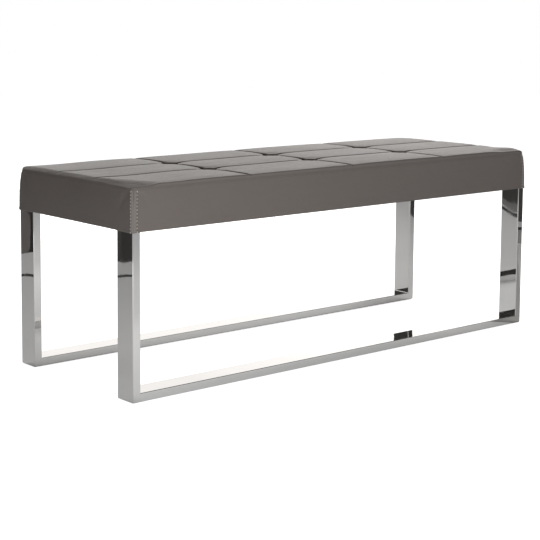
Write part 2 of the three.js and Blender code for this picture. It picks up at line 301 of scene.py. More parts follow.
def metal_handling() -> bpy.types.NodeTree:
    """Return the group of fine scratches and smudges that the metals share."""

    def recipe(nodes: Nodes, given: dict) -> dict:
        """Return the scratches, the smudges and the slow waves of a rolled wall."""
        along = nodes.stretched(given["Vector"], (1.0, 1.0, 24.0))
        across = nodes.stretched(given["Vector"], (24.0, 1.0, 1.0))
        first = nodes.remap(nodes.noise(along, given["Scale"], 4, 0.7), 0.6, 0.72)
        second = nodes.remap(nodes.noise(across, given["Scale"], 4, 0.7), 0.6, 0.72)
        scratches = nodes.math("MAXIMUM", first, second)
        smudges = nodes.remap(nodes.noise(given["Vector"], 14.0, 4, 0.6), 0.42, 0.75)
        slow = nodes.noise(given["Vector"], given["Wave Scale"], 1, 0.4)
        fast = nodes.noise(given["Vector"], nodes.math("MULTIPLY", given["Wave Scale"], 4.2), 1, 0.4)
        waves = nodes.math("ADD", nodes.math("MULTIPLY", slow, 0.94), nodes.math("MULTIPLY", fast, 0.06))
        return {"Scratches": scratches, "Smudges": smudges, "Waves": waves}

    return shader_group("metal_handling", {"Vector": None, "Scale": 60.0, "Wave Scale": 5.0},
                        ("Scratches", "Smudges", "Waves"), recipe)


def wood_grain() -> bpy.types.NodeTree:
    """Return the group of rings and fibres that plywood and pine share."""

    def recipe(nodes: Nodes, given: dict) -> dict:
        """Return the bands of the rings, and the fine fibres."""
        long_rings = nodes.stretched(given["Vector"], (0.06, 1.0, 1.0))
        warped = nodes.noise(long_rings, given["Ring Scale"], 3, 0.55)
        rings = nodes.math("FRACT", nodes.math("MULTIPLY", warped, given["Ring Count"]))
        bands = nodes.remap(nodes.math("ABSOLUTE", nodes.math("SUBTRACT", rings, 0.5)), 0.1, 0.5)
        long_fibres = nodes.stretched(given["Vector"], (0.03, 1.0, 1.0))
        fibres = nodes.noise(long_fibres, 900.0, 3, 0.6)
        return {"Rings": bands, "Fibres": fibres}

    return shader_group("wood_grain", {"Vector": None, "Ring Scale": 12.0, "Ring Count": 7.0},
                        ("Rings", "Fibres"), recipe)


def plain_weave() -> bpy.types.NodeTree:
    """Return the group of crossing threads that the cloths and cords share."""

    def recipe(nodes: Nodes, given: dict) -> dict:
        """Return the height of the threads, and where a thread is on top."""
        parts = nodes.add("ShaderNodeSeparateXYZ", {0: given["Vector"]})
        turn = nodes.math("MULTIPLY", given["Threads"], math.pi)
        across = nodes.math("SINE", nodes.math("MULTIPLY", parts.outputs[0], turn))
        along = nodes.math("SINE", nodes.math("MULTIPLY", nodes.math("ADD", parts.outputs[1], parts.outputs[2]), turn))
        top = nodes.math("GREATER_THAN", nodes.math("MULTIPLY", across, along), 0.0)
        warp, weft = nodes.math("ABSOLUTE", across), nodes.math("ABSOLUTE", along)
        height = nodes.math("ADD", nodes.math("MULTIPLY", warp, top),
                            nodes.math("MULTIPLY", weft, nodes.math("SUBTRACT", 1.0, top)))
        return {"Height": height, "Warp": top}

    return shader_group("plain_weave", {"Vector": None, "Threads": 1400.0}, ("Height", "Warp"), recipe)


def settled_dust() -> bpy.types.NodeTree:
    """Return the group of dust on faces that look up."""

    def recipe(nodes: Nodes, given: dict) -> dict:
        """Return where dust lies."""
        facing = nodes.add("ShaderNodeSeparateXYZ", {0: nodes.add("ShaderNodeNewGeometry").outputs["Normal"]})
        up = nodes.remap(facing.outputs[2], 0.35, 0.95)
        patch = nodes.remap(nodes.noise(given["Vector"], 35.0, 4, 0.65), 0.35, 0.75)
        return {"Dust": nodes.math("MULTIPLY", nodes.math("MULTIPLY", up, patch), given["Amount"])}

    return shader_group("settled_dust", {"Vector": None, "Amount": 0.1}, ("Dust",), recipe)


# Finishes


class Finish:
    """A material that is made when it is first asked for."""

    label: str

    def material(self) -> bpy.types.Material:
        """Return the finish's material, made once."""
        found = bpy.data.materials.get(self.label)
        if found:
            return found
        made = bpy.data.materials.new(self.label)
        made.use_nodes = True
        nodes = Nodes(made.node_tree)
        shader = nodes.add("ShaderNodeBsdfPrincipled")
        self.fill(nodes, shader)
        nodes.add("ShaderNodeOutputMaterial", {"Surface": shader.outputs[0]})
        return made

    def fill(self, nodes: Nodes, shader: bpy.types.Node) -> None:
        """Feed the shader's sockets.

        Args:
            nodes: The material's nodes.
            shader: Its Principled BSDF.
        """
        raise NotImplementedError


@dataclass(frozen=True)
class Leatherette(Finish):
    """Embossed, satin synthetic leather, with painted shade in its seams, tuft pits and rolled edges, worn lighter on
    the top's rolled edges, and with a painted highlight on the skirt's corner strips.
    """

    label: str = "taupe_leatherette"
    colour: Colour = (0.150, 0.131, 0.119)
    # The deep tone darkens the grain's valleys and gives the painted shade in seams, tuft pits and rolled edges.
    deep: Colour = (0.030, 0.026, 0.023)
    # The rubbed tone lightens the worn rolled edges of the top and gives a painted highlight on the skirt's corner
    # strips.
    rubbed: Colour = (0.205, 0.184, 0.170)
    pebbles_per_metre: float = 850.0
    grain_depth: float = 0.00016

    def fill(self, nodes: Nodes, shader: bpy.types.Node) -> None:
        """Colour by slow mottle, painted shade in seams, pits and rolled edges, and edge wear with a painted highlight,
        with pebbled grain.
        """
        place = nodes.place()
        grain = nodes.add("ShaderNodeGroup", node_tree=pebble_grain())
        nodes.feed(grain.inputs["Vector"], place)
        nodes.feed(grain.inputs["Scale"], self.pebbles_per_metre)
        mottle = nodes.noise(place, 7.0, 4, 0.6)
        light = tuple(1.06 * channel for channel in self.colour)
        dark = tuple(0.94 * channel for channel in self.colour)
        colour = nodes.mix(mottle, dark, light)
        colour = nodes.mix(nodes.math("MULTIPLY", grain.outputs["Valley"], 0.22), colour, self.deep)
        # Edge wear on the top's rolled edges, and a painted highlight on the skirt's corner strips.
        colour = nodes.mix(nodes.math("MULTIPLY", nodes.attribute("rub"), 0.5), colour, self.rubbed)
        # Painted shade in the seams, tuft pits, rolled edges and pressed corner.
        colour = nodes.mix(nodes.attribute("crease"), colour, self.deep)
        nodes.feed(shader.inputs["Base Color"], colour)
        streaks = nodes.noise(nodes.stretched(place, (2.0, 26.0, 26.0)), 3.0, 3, 0.6)
        rough = nodes.remap(nodes.math("ADD", mottle, streaks), 0.6, 1.4, 0.33, 0.42, "LINEAR")
        rough = nodes.math("ADD", rough, nodes.math("MULTIPLY", nodes.attribute("crease"), 0.3))
        nodes.feed(shader.inputs["Roughness"], rough)
        nodes.feed(shader.inputs["Specular IOR Level"], nodes.remap(nodes.attribute("crease"), 0.0, 1.0, 0.5, 0.02, "LINEAR"))
        high = nodes.remap(nodes.vector("DOT_PRODUCT", place, (0.0, 0.0, 1.0)), 0.441, 0.447, 0.15, 0.8)
        soft = nodes.bump(streaks, 0.0020, high)
        nodes.feed(shader.inputs["Normal"], nodes.bump(grain.outputs["Height"], self.grain_depth, 0.6, soft))


@dataclass(frozen=True)
class SewingThread(Finish):
    """Bonded sewing thread, a shade lighter than the cover, with its twist."""

    label: str = "sewing_thread"
    colour: Colour = (0.66, 0.62, 0.58)
    shade: Colour = (0.42, 0.39, 0.365)

    def fill(self, nodes: Nodes, shader: bpy.types.Node) -> None:
        """Colour and relief by the twist."""
        weave = nodes.add("ShaderNodeGroup", node_tree=plain_weave())
        nodes.feed(weave.inputs["Vector"], nodes.place())
        nodes.feed(weave.inputs["Threads"], 2600.0)
        nodes.feed(shader.inputs["Base Color"], nodes.mix(weave.outputs["Height"], self.shade, self.colour))
        shader.inputs["Roughness"].default_value = 0.55
        nodes.feed(shader.inputs["Normal"], nodes.bump(weave.outputs["Height"], 0.0001, 0.5))


@dataclass(frozen=True)
class PolishedSteel(Finish):
    """Polished, plated flat tube: nearly a mirror, with the slow waves of a rolled wall."""

    label: str = "polished_steel"
    colour: Colour = (0.690, 0.687, 0.680)
    smudge: Colour = (0.650, 0.647, 0.640)
    wave_height: float = 0.0030

    def fill(self, nodes: Nodes, shader: bpy.types.Node) -> None:
        """Mirror with smudges and hairline scratches."""
        handling = nodes.add("ShaderNodeGroup", node_tree=metal_handling())
        nodes.feed(handling.inputs["Vector"], nodes.place())
        marks = nodes.math("ADD", nodes.math("MULTIPLY", handling.outputs["Smudges"], 0.5),
                           nodes.math("MULTIPLY", handling.outputs["Scratches"], 0.5))
        nodes.feed(shader.inputs["Base Color"], nodes.mix(marks, self.colour, self.smudge))
        shader.inputs["Metallic"].default_value = 1.0
        nodes.feed(shader.inputs["Roughness"], nodes.remap(marks, 0.0, 1.0, 0.02, 0.08, "LINEAR"))
        nodes.feed(shader.inputs["Normal"], nodes.bump(handling.outputs["Waves"], self.wave_height, 0.6))


@dataclass(frozen=True)
class ZincPlate(Finish):
    """Bright zinc on bolts, nuts and staples."""

    label: str = "zinc_plate"
    colour: Colour = (0.50, 0.51, 0.52)
    dull: Colour = (0.33, 0.33, 0.33)

    def fill(self, nodes: Nodes, shader: bpy.types.Node) -> None:
        """Metal that dulls in patches."""
        handling = nodes.add("ShaderNodeGroup", node_tree=metal_handling())
        nodes.feed(handling.inputs["Vector"], nodes.place())
        nodes.feed(handling.inputs["Scale"], 260.0)
        nodes.feed(shader.inputs["Base Color"], nodes.mix(handling.outputs["Smudges"], self.colour, self.dull))
        shader.inputs["Metallic"].default_value = 1.0
        nodes.feed(shader.inputs["Roughness"],
                   nodes.remap(handling.outputs["Smudges"], 0.0, 1.0, 0.28, 0.5, "LINEAR"))
        nodes.feed(shader.inputs["Normal"], nodes.bump(handling.outputs["Scratches"], 0.00003, 0.5))


@dataclass(frozen=True)
class Wood(Finish):
    """Sawn wood or the face of a ply, with its rings and fibres along X."""

    label: str
    pale: Colour
    dark: Colour
    ring_scale: float = 12.0
    ring_count: float = 7.0

    def fill(self, nodes: Nodes, shader: bpy.types.Node) -> None:
        """Colour by the rings, relief by the fibres."""
        place = nodes.place()
        grain = nodes.add("ShaderNodeGroup", node_tree=wood_grain())
        nodes.feed(grain.inputs["Vector"], place)
        nodes.feed(grain.inputs["Ring Scale"], self.ring_scale)
        nodes.feed(grain.inputs["Ring Count"], self.ring_count)
        dust = nodes.add("ShaderNodeGroup", node_tree=settled_dust())
        nodes.feed(dust.inputs["Vector"], place)
        tone = nodes.math("ADD", nodes.math("MULTIPLY", grain.outputs["Rings"], 0.6),
                          nodes.math("MULTIPLY", grain.outputs["Fibres"], 0.4))
        colour = nodes.mix(tone, self.pale, self.dark)
        nodes.feed(shader.inputs["Base Color"], nodes.mix(dust.outputs["Dust"], colour, (0.5, 0.47, 0.42)))
        nodes.feed(shader.inputs["Roughness"], nodes.remap(grain.outputs["Fibres"], 0.2, 0.8, 0.6, 0.85, "LINEAR"))
        nodes.feed(shader.inputs["Normal"], nodes.bump(grain.outputs["Fibres"], 0.0003, 0.5))


@dataclass(frozen=True)
class Cloth(Finish):
    """Thin woven cloth or spun cord."""

    label: str
    colour: Colour
    shade: Colour
    threads_per_metre: float

    def fill(self, nodes: Nodes, shader: bpy.types.Node) -> None:
        """Colour and relief by the weave, dusted where it faces up."""
        place = nodes.place()
        weave = nodes.add("ShaderNodeGroup", node_tree=plain_weave())
        nodes.feed(weave.inputs["Vector"], place)
        nodes.feed(weave.inputs["Threads"], self.threads_per_metre)
        dust = nodes.add("ShaderNodeGroup", node_tree=settled_dust())
        nodes.feed(dust.inputs["Vector"], place)
        uneven = nodes.noise(place, 60.0, 3, 0.6)
        thread = nodes.math("MULTIPLY", weave.outputs["Height"], uneven)
        colour = nodes.mix(thread, self.shade, self.colour)
        nodes.feed(shader.inputs["Base Color"], nodes.mix(dust.outputs["Dust"], colour, (0.3, 0.29, 0.27)))
        nodes.feed(shader.inputs["Roughness"], nodes.remap(uneven, 0.2, 0.8, 0.8, 0.95, "LINEAR"))
        nodes.feed(shader.inputs["Normal"], nodes.bump(weave.outputs["Height"], 0.0002, 0.7))


@dataclass(frozen=True)
class Nylon(Finish):
    """Moulded black nylon with a fine spark-eroded surface."""

    label: str = "moulded_nylon"
    colour: Colour = (0.022, 0.022, 0.023)
    worn: Colour = (0.055, 0.054, 0.053)

    def fill(self, nodes: Nodes, shader: bpy.types.Node) -> None:
        """Satin plastic, greyer where it is scuffed."""
        place = nodes.place()
        grain = nodes.add("ShaderNodeGroup", node_tree=pebble_grain())
        nodes.feed(grain.inputs["Vector"], place)
        nodes.feed(grain.inputs["Scale"], 2600.0)
        scuff = nodes.remap(nodes.noise(place, 90.0, 4, 0.7), 0.5, 0.8)
        nodes.feed(shader.inputs["Base Color"], nodes.mix(scuff, self.colour, self.worn))
        nodes.feed(shader.inputs["Roughness"], nodes.remap(scuff, 0.0, 1.0, 0.42, 0.62, "LINEAR"))
        nodes.feed(shader.inputs["Normal"], nodes.bump(grain.outputs["Height"], 0.00006, 0.5))


@dataclass(frozen=True)
class Foam(Finish):
    """Cut upholstery foam with open cells."""

    label: str = "upholstery_foam"
    colour: Colour = (0.72, 0.64, 0.42)
    pore: Colour = (0.45, 0.38, 0.22)

    def fill(self, nodes: Nodes, shader: bpy.types.Node) -> None:
        """Matte foam with pores."""
        cells = nodes.add("ShaderNodeTexVoronoi", {"Vector": nodes.place(), "Scale": 1100.0}).outputs["Distance"]
        nodes.feed(shader.inputs["Base Color"], nodes.mix(cells, self.pore, self.colour))
        shader.inputs["Roughness"].default_value = 0.95
        nodes.feed(shader.inputs["Normal"], nodes.bump(cells, 0.0003, 0.6))


LEATHERETTE = Leatherette()
THREAD = SewingThread()
STEEL = PolishedSteel()
ZINC = ZincPlate()
PLYWOOD = Wood("birch_plywood", (0.50, 0.34, 0.19), (0.33, 0.20, 0.10), 9.0, 5.0)
PINE = Wood("sawn_pine", (0.62, 0.42, 0.21), (0.40, 0.23, 0.09), 16.0, 9.0)
CAMBRIC = Cloth("black_cambric", (0.030, 0.030, 0.031), (0.008, 0.008, 0.008), 900.0)
TWINE = Cloth("tufting_twine", (0.17, 0.15, 0.14), (0.06, 0.05, 0.045), 1500.0)
NYLON = Nylon()
FOAM = Foam()


# Meshes


def mesh_object(name: str, points: Vectors, faces: Sequence, finishes: Sequence[Finish],
                smooth: bool = True) -> bpy.types.Object:
    """Make a mesh object whose place is in its mesh.

    Args:
        name: Name of the piece.
        points: Corner points in millimetres.
        faces: Corner numbers of each face.
        finishes: Its materials, in the order of their numbers.
        smooth: Shade it smooth.

    Returns:
        The new object, in the scene.
    """
    mesh = bpy.data.meshes.new(name)
    mesh.from_pydata((np.asarray(points, float) * METRES).tolist(), [], faces)
    mesh.update()
    if smooth:
        mesh.shade_smooth()
    for finish in finishes:
        mesh.materials.append(finish.material())
    made = bpy.data.objects.new(name, mesh)
    bpy.context.scene.collection.objects.link(made)
    return made


def paint(piece: bpy.types.Object, name: str, values: Vectors) -> None:
    """Store one number for each point of a mesh, for its material to read.

    Args:
        piece: The mesh object.
        name: Name of the number.
        values: One value for each point.
    """
    layer = piece.data.attributes.new(name, "FLOAT", "POINT")
    layer.data.foreach_set("value", np.ascontiguousarray(values, dtype=np.float32))


def finish_mesh(piece: bpy.types.Object) -> None:
    """Merge a mesh's doubles and turn its faces outwards."""
    work = bmesh.new()
    work.from_mesh(piece.data)
    bmesh.ops.remove_doubles(work, verts=work.verts, dist=1e-6)
    bmesh.ops.recalc_face_normals(work, faces=work.faces)
    work.to_mesh(piece.data)
    work.free()


def ring_faces(first: int, second: int, count: int) -> list[tuple[int, int, int, int]]:
    """Return the faces between two closed rings of points.

    Args:
        first: Number of the first ring's first point.
        second: Number of the second ring's first point.
        count: Points in each ring.

    Returns:
        Four corner numbers for each face.
    """
    return [(first + k, second + k, second + (k + 1) % count, first + (k + 1) % count) for k in range(count)]


def smoothstep(value: Vectors, low: float, high: float) -> Vectors:
    """Return 0 below low, 1 above high, and a soft step between them."""
    share = np.clip((value - low) / (high - low), 0.0, 1.0)
    return share * share * (3 - 2 * share)


def resample(values: Vectors, places: Vectors) -> Vectors:
    """Read evenly spaced values between their points, along a smooth curve.

    Args:
        values: Values along the first axis.
        places: Where to read, counted in points.

    Returns:
        One value for each place.
    """
    last = len(values) - 1
    start = np.clip(np.floor(places).astype(int), 0, last - 1)
    share = (places - start).reshape(-1, *([1] * (values.ndim - 1)))
    before, here, after, beyond = (values[np.clip(start + k, 0, last)] for k in (-1, 0, 1, 2))
    return here + 0.5 * share * (after - before + share * (
        2 * before - 5 * here + 4 * after - beyond + share * (3 * (here - after) + beyond - before)))


# Seat cushion


@dataclass
class Cushion:
    """Quilted seat: twelve sewn panels pulled down at six tufts, with a skirt that turns in under the rails."""

    columns: int = 4
    rows: int = 3
    thickness: float = 1.2
    clearance: float = 0.3
    draw: float = 4.0
    draw_power: float = 3.5
    seam_rise: float = 9.0
    crown: float = 1.8
    crown_power: float = 5.0
    side_roll: float = 7.0
    side_bulge: float = 5.0
    end_rolls: tuple[float, float] = (19.0, 18.0)
    end_bulge: float = 2.1
    end_droop: float = 1.6
    right_lift: float = 2.2
    edge_droop: tuple[float, float] = (0.5, 0.8)
    tuft_dish: float = 2.2
    tuft_reach: float = 30.0
    tuft_pull: float = 0.7
    pull_reach: float = 45.0
    diamond_half: float = 25.0
    diamond_wall: float = 2.6
    diamond_depth: float = 13.0
    corner_droops: tuple[float, float] = (2.2, 0.6)
    corner_press: float = 3.4
    corner_fold: float = 60.0
    right_puff: float = 2.0
    right_sag: float = 3.2
    right_saddle: float = 1.8
    corner_seam: float = 4.0
    row_insets: tuple[float, float] = (5.5, 12.0)
    row_drop: float = 2.6
    corner_radius: float = 10.0
    hem_radius: float = 8.0
    hem_turn: float = 16.0
    grid_step: float = 5.5
    cloth_cells: tuple[int, int] = (38, 18)
    cloth_frames: int = 20
    move_cap: float = 0.5
    crease_widths: tuple[float, float] = (7.2, 5.4)
    crease_depths: tuple[float, float] = (5.0, 4.6)
    seam_grades: tuple[float, float] = (0.75, 1.35)
    hem_half: Vectors = field(default_factory=lambda: np.zeros(2))
    top_half: Vectors = field(default_factory=lambda: np.zeros(2))
    seam_half: Vectors = field(default_factory=lambda: np.zeros(2))

    def __post_init__(self) -> None:
        """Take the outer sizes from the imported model."""
        front, end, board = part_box("boxing_front"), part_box("boxing_left"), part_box("seat_board")
        self.hem_half = np.array([-end[0].x, -front[0].y]) / METRES
        self.top_half = self.hem_half - self.draw
        self.seam_half = -np.array(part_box("top_panel_r1_c1")[0])[:2] / METRES
        self.hem_bottom = front[0].z / METRES
        self.seam_height = front[1].z / METRES
        self.board_top = board[1].z / METRES
        self.leg_inner = np.array([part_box("front_leg_left")[1].x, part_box("front_leg_left")[1].y]) / METRES

    def bounds(self, axis: int) -> Vectors:
        """Return where the panels begin and end along one direction: rim, seams, rim."""
        half, seam_half, count = self.top_half[axis], self.seam_half[axis], (self.columns, self.rows)[axis]
        return np.array([-half, *[(2 * k / count - 1) * seam_half for k in range(1, count)], half])

    def tufts(self) -> list[tuple[float, float]]:
        """Return the crossings of the seams inside the top."""
        return [(x, y) for y in self.bounds(1)[1:-1] for x in self.bounds(0)[1:-1]]

    def lines(self, axis: int) -> Vectors:
        """Return the grid lines across the top, close together at its seams and rolled edges.

        Args:
            axis: 0 for lines along X, 1 for lines along Y.

        Returns:
            Their places in rising order.
        """
        bounds = self.bounds(axis)
        count = len(bounds) - 1
        near = (0, 0.3, 1, 2, 3, 3.6, 4, 4.4, 5.1, 6.3, 8, 9.6, 11.2, 12, 12.8, 14.5, 17, 20, 24, 28, 32, 36, 40) if axis == 0 \
            else (0, 0.08, 0.3, 0.6, 1.0, 1.6, 2.4, 3.4, 4.6, 5.1, 5.5, 5.9, 7, 8.5, 10.5, 13, 16, 20)
        edge = list(near)
        seam = [0, 0.5, 1.0, 1.6, 2.3, 3.1, 4.0, 5.0, 6.0, 7.1, 9, 11, 13, 15, 17, 19, 21, 22.6, 23.8, 24.8, 25.6, 26.6, 28.5, 31]
        places: list[float] = []
        for index in range(count):
            low, high = bounds[index], bounds[index + 1]
            first = [low + step for step in (edge if index == 0 else seam)]
            last = [high - step for step in reversed(edge if index == count - 1 else seam)]
            between = max(int((last[0] - first[-1]) / self.grid_step), 2)
            inner = np.linspace(first[-1], last[0], between + 1)[1:-1].tolist()
            places += first + inner + last[:-1]
        return np.array([*places, bounds[-1]])

    def swell(self, place: Vectors, axis: int) -> Vectors:
        """Return how full the panels are along one direction, from 0 at a seam to 1 in the middle."""
        bounds = self.bounds(axis)
        count = len(bounds) - 1
        index = np.clip(np.searchsorted(bounds, place, side="right") - 1, 0, count - 1)
        inside = 2 * (place - bounds[index]) / (bounds[index + 1] - bounds[index]) - 1
        full = 1 - np.abs(inside) ** self.crown_power
        outer = 1 - 0.3 * inside ** 2
        full = np.where((index == 0) & (inside < 0), outer, full)
        return np.where((index == count - 1) & (inside > 0), outer, full)

    def seam_distance(self, place: Vectors, axis: int) -> Vectors:
        """Return the distance to the nearest seam that crosses the top."""
        return np.min([np.abs(place - seam) for seam in self.bounds(axis)[1:-1]], axis=0)

    def rises(self, x: Vectors, y: Vectors) -> tuple[Vectors, Vectors]:
        """Return the rolled edges' rise at the ends and at the sides, from 0 at the rim to 1."""
        out = []
        end_roll = np.where(x < 0, *self.end_rolls)
        edges = (x, self.top_half[0], end_roll, self.end_bulge), (y, self.top_half[1], self.side_roll, self.side_bulge)
        for place, half, roll, bulge in edges:
            share = 1 - np.clip(half - np.abs(place), 0, roll) / roll
            out.append((1 - share ** bulge) ** (1 / bulge))
        return out[0], out[1]

    def top(self, x: Vectors, y: Vectors, lift: Vectors | None = None,
            sewn: bool = True) -> tuple[Vectors, Vectors, Vectors]:
        """Return the top's points and what its material reads there.

        Args:
            x: Places along X.
            y: Places along Y.
            lift: How far the cloth moved each point.
            sewn: Add the creases and the diamonds of the tufts.

        Returns:
            Points, painted shade share and edge wear share.
        """
        rise_x, rise_y = self.rises(x, y)
        rise = rise_x * rise_y
        height = self.seam_rise + self.crown * self.swell(x, 0) * self.swell(y, 1)
        for tuft_x, tuft_y in self.tufts():
            reach = np.hypot(x - tuft_x, y - tuft_y) / self.tuft_reach
            height = height - self.tuft_dish * np.exp(-reach ** 2)
        droop = np.where(y < 0, *self.edge_droop)
        height = height - droop * np.exp(-((self.top_half[1] - np.abs(y)) / 40) ** 2)
        pull = np.max([np.exp(-(np.hypot(x - cx, y - cy) / self.pull_reach) ** 2) for cx, cy in self.tufts()], axis=0)
        # Painted shade on the rolled edges.
        crease = 0.3 * smoothstep(rise, 0.4, 0.8) * (1 - smoothstep(rise, 0.9, 0.99))
        if sewn:
            for place, axis in ((x, 0), (y, 1)):
                width = self.crease_widths[axis] * (1 + 0.5 * self.tuft_pull * pull)
                depth = 1 - smoothstep(self.seam_distance(place, axis), 0.1 * width, width)
                deep = self.crease_depths[axis] * (1 + self.tuft_pull * pull)
                if axis == 1:
                    deep = deep * (self.seam_grades[0] + (self.seam_grades[1] - self.seam_grades[0]) * smoothstep(x, -560, 260))
                inward = smoothstep(self.top_half[1 - axis] - np.abs((y, x)[axis]), 5, 24)
                height = height - deep * depth * smoothstep(rise, 0.5, 0.98) * (0.45 + 0.55 * inward)
                # Painted shade along the seams.
                line = 1 - smoothstep(self.seam_distance(place, axis), 0.5 * width, 0.95 * width)
                crease = np.maximum(crease, line * smoothstep(rise, 0.88, 0.99) * (0.4 + 0.6 * inward))
            for tuft_x, tuft_y in self.tufts():
                inside = self.diamond_half - np.abs(x - tuft_x) - np.abs(y - tuft_y)
                wall = np.clip(inside / self.diamond_wall, 0, 1)
                height = height - self.diamond_depth * wall * wall * (3 - 2 * wall)
                # Painted shade in the tuft pits.
                crease = np.maximum(crease, smoothstep(inside, -1.5, -0.3))
        corner = np.exp(-(((self.top_half[0] - np.abs(x)) / 65) ** 2 + ((self.top_half[1] - np.abs(y)) / 42) ** 2))
        height = height - np.where(y < 0, *self.corner_droops) * corner * np.where((x > 0) & (y < 0), 0.0, 1.0)
        puff = np.exp(-((x - 568) / 32) ** 2 - ((self.top_half[1] + y - 30) / 28) ** 2)
        saddle = np.exp(-((self.top_half[0] - x) / 60) ** 2 - ((self.top_half[1] + y - 85) / 36) ** 2)
        sag = smoothstep(x, 480, 540) * np.exp(-((self.top_half[1] + y) / 17) ** 2)
        height = height + self.right_puff * puff - self.right_sag * sag - self.right_saddle * saddle
        near = 0.875 * (self.top_half[0] + x) + 0.485 * (self.top_half[1] + y)
        pressed = 1 - smoothstep(near, self.corner_fold - 24, self.corner_fold)
        fold = np.exp(-((near - self.corner_fold - 7) / 7) ** 2) * smoothstep(rise, 0.6, 0.95)
        height = height - self.corner_press * pressed + 0.9 * fold
        # Painted shade on the pressed front-left corner.
        crease = np.maximum(crease, 0.42 * pressed * smoothstep(rise, 0.3, 0.7))
        height = height - self.end_droop * np.exp(-((self.top_half[0] + x - 90) / 70) ** 2)
        height = height + self.right_lift * smoothstep(x, -230, 120)
        points = np.stack([x, y, self.seam_height + rise * height], -1)
        if lift is not None:
            points = points + lift * smoothstep(rise, 0.2, 0.9)[..., None]
        tuck = 0.2 * (1 - np.clip((points[..., 2] - self.seam_height) / 1.6, 0, 1)) ** 2
        points[..., 0] -= np.sign(x) * tuck * (1 - rise_x)
        points[..., 1] -= np.sign(y) * tuck * (1 - rise_y)
        edge = smoothstep(rise, 0.25, 0.6) * (1 - smoothstep(rise, 0.75, 0.98))
        self.round_corners(points, np.abs(x), np.abs(y), self.top_half, self.corner_radius)
        return points, crease, edge

    @staticmethod
    def round_corners(points: Vectors, x: Vectors, y: Vectors, half: Vectors, radius: float | Vectors) -> None:
        """Round the plan's corners in place, by pressing each corner's square into a quarter disc.

        Args:
            points: Points to move.
            x: Their distance from the middle along X before any inset.
            y: The same along Y.
            half: Half sizes of the plan at each point.
            radius: Radius of the corners.
        """
        over_x = np.clip(x - (half[..., 0] - radius), 0, None)
        over_y = np.clip(y - (half[..., 1] - radius), 0, None)
        length = np.maximum(np.hypot(over_x, over_y), 1e-9)
        press = np.maximum(over_x, over_y) / length
        points[..., 0] -= np.sign(points[..., 0]) * over_x * (1 - press)
        points[..., 1] -= np.sign(points[..., 1]) * over_y * (1 - press)

    def cloth_lift(self, lines_x: Vectors, lines_y: Vectors) -> Vectors | None:
        """Blow a sheet up between the seams with cloth, and read how far it moved on the final grid.

        Args:
            lines_x: Grid lines along X.
            lines_y: Grid lines along Y.

        Returns:
            A move for each grid point.
        """
        count_x, count_y = self.columns * self.cloth_cells[0], self.rows * self.cloth_cells[1]
        even_x = np.linspace(-self.top_half[0], self.top_half[0], count_x + 1)
        even_y = np.linspace(-self.top_half[1], self.top_half[1], count_y + 1)
        grid_x, grid_y = np.meshgrid(even_x, even_y)
        start, _, _ = self.top(grid_x, grid_y, sewn=False)
        width = count_x + 1
        faces = [(j * width + i, j * width + i + 1, (j + 1) * width + i + 1, (j + 1) * width + i)
                 for j in range(count_y) for i in range(count_x)]
        sheet = mesh_object("cloth_trial", start.reshape(-1, 3), faces, [])
        self.hold(sheet, grid_x, grid_y)
        self.inflate(sheet)
        moved = self.read_points(sheet).reshape(start.shape) / METRES - start
        bpy.data.objects.remove(sheet)
        far = np.linalg.norm(moved, axis=-1, keepdims=True)
        moved *= np.minimum(1.0, self.move_cap / np.maximum(far, 1e-9))
        log.info("cloth moved the top by %.2f mm at most, %.2f mm on average", far.max(), far.mean())
        across = resample(np.swapaxes(moved, 0, 1), (lines_x + self.top_half[0]) / (2 * self.top_half[0]) * count_x)
        return resample(np.swapaxes(across, 0, 1), (lines_y + self.top_half[1]) / (2 * self.top_half[1]) * count_y)

    def hold(self, sheet: bpy.types.Object, x: Vectors, y: Vectors) -> None:
        """Pin the cloth at its rim and tufts, and hold it softly along its seams."""
        rim = np.minimum(self.top_half[0] - np.abs(x), self.top_half[1] - np.abs(y))
        seam = np.minimum(self.seam_distance(x, 0), self.seam_distance(y, 1))
        held = np.where(seam < 4.0, 0.35, 0.0)
        for tuft_x, tuft_y in self.tufts():
            held = np.maximum(held, np.exp(-(np.hypot(x - tuft_x, y - tuft_y) / 22) ** 2))
        held = np.where(rim < 1.0, 1.0, held).ravel()
        group = sheet.vertex_groups.new(name="held")
        for weight in np.unique(np.round(held, 2)):
            if weight > 0:
                group.add(np.flatnonzero(np.round(held, 2) == weight).tolist(), float(weight), "REPLACE")

    def inflate(self, sheet: bpy.types.Object) -> None:
        """Run the cloth with pressure from below."""
        cloth = sheet.modifiers.new("swell", "CLOTH")
        settings = cloth.settings
        settings.quality = 6
        settings.mass = 0.35
        settings.tension_stiffness = settings.compression_stiffness = 22
        settings.shear_stiffness = 9
        settings.bending_stiffness = 1.2
        settings.use_pressure = True
        settings.uniform_pressure_force = 1.2
        settings.vertex_group_mass = "held"
        settings.pin_stiffness = 1.0
        settings.shrink_min = -0.004
        settings.effector_weights.gravity = 0.0
        cloth.point_cache.frame_start, cloth.point_cache.frame_end = 1, self.cloth_frames
        scene = bpy.context.scene
        for number in range(1, self.cloth_frames + 1):
            scene.frame_set(number)

    @staticmethod
    def read_points(piece: bpy.types.Object) -> Vectors:
        """Return a piece's points in metres with its modifiers, and go back to the first frame."""
        evaluated = piece.evaluated_get(bpy.context.evaluated_depsgraph_get())
        mesh = evaluated.to_mesh()
        places = np.empty(len(mesh.vertices) * 3, np.float32)
        mesh.vertices.foreach_get("co", places)
        evaluated.to_mesh_clear()
        piece.modifiers.clear()
        bpy.context.scene.frame_set(1)
        return places.astype(float)

    def cover_half(self, height: Vectors) -> Vectors:
        """Return the skirt's half sizes at a height."""
        climb = (height - self.hem_bottom) / (self.seam_height - self.hem_bottom)
        return self.hem_half - (self.draw * np.clip(climb, 0, 1) ** self.draw_power)[..., None]

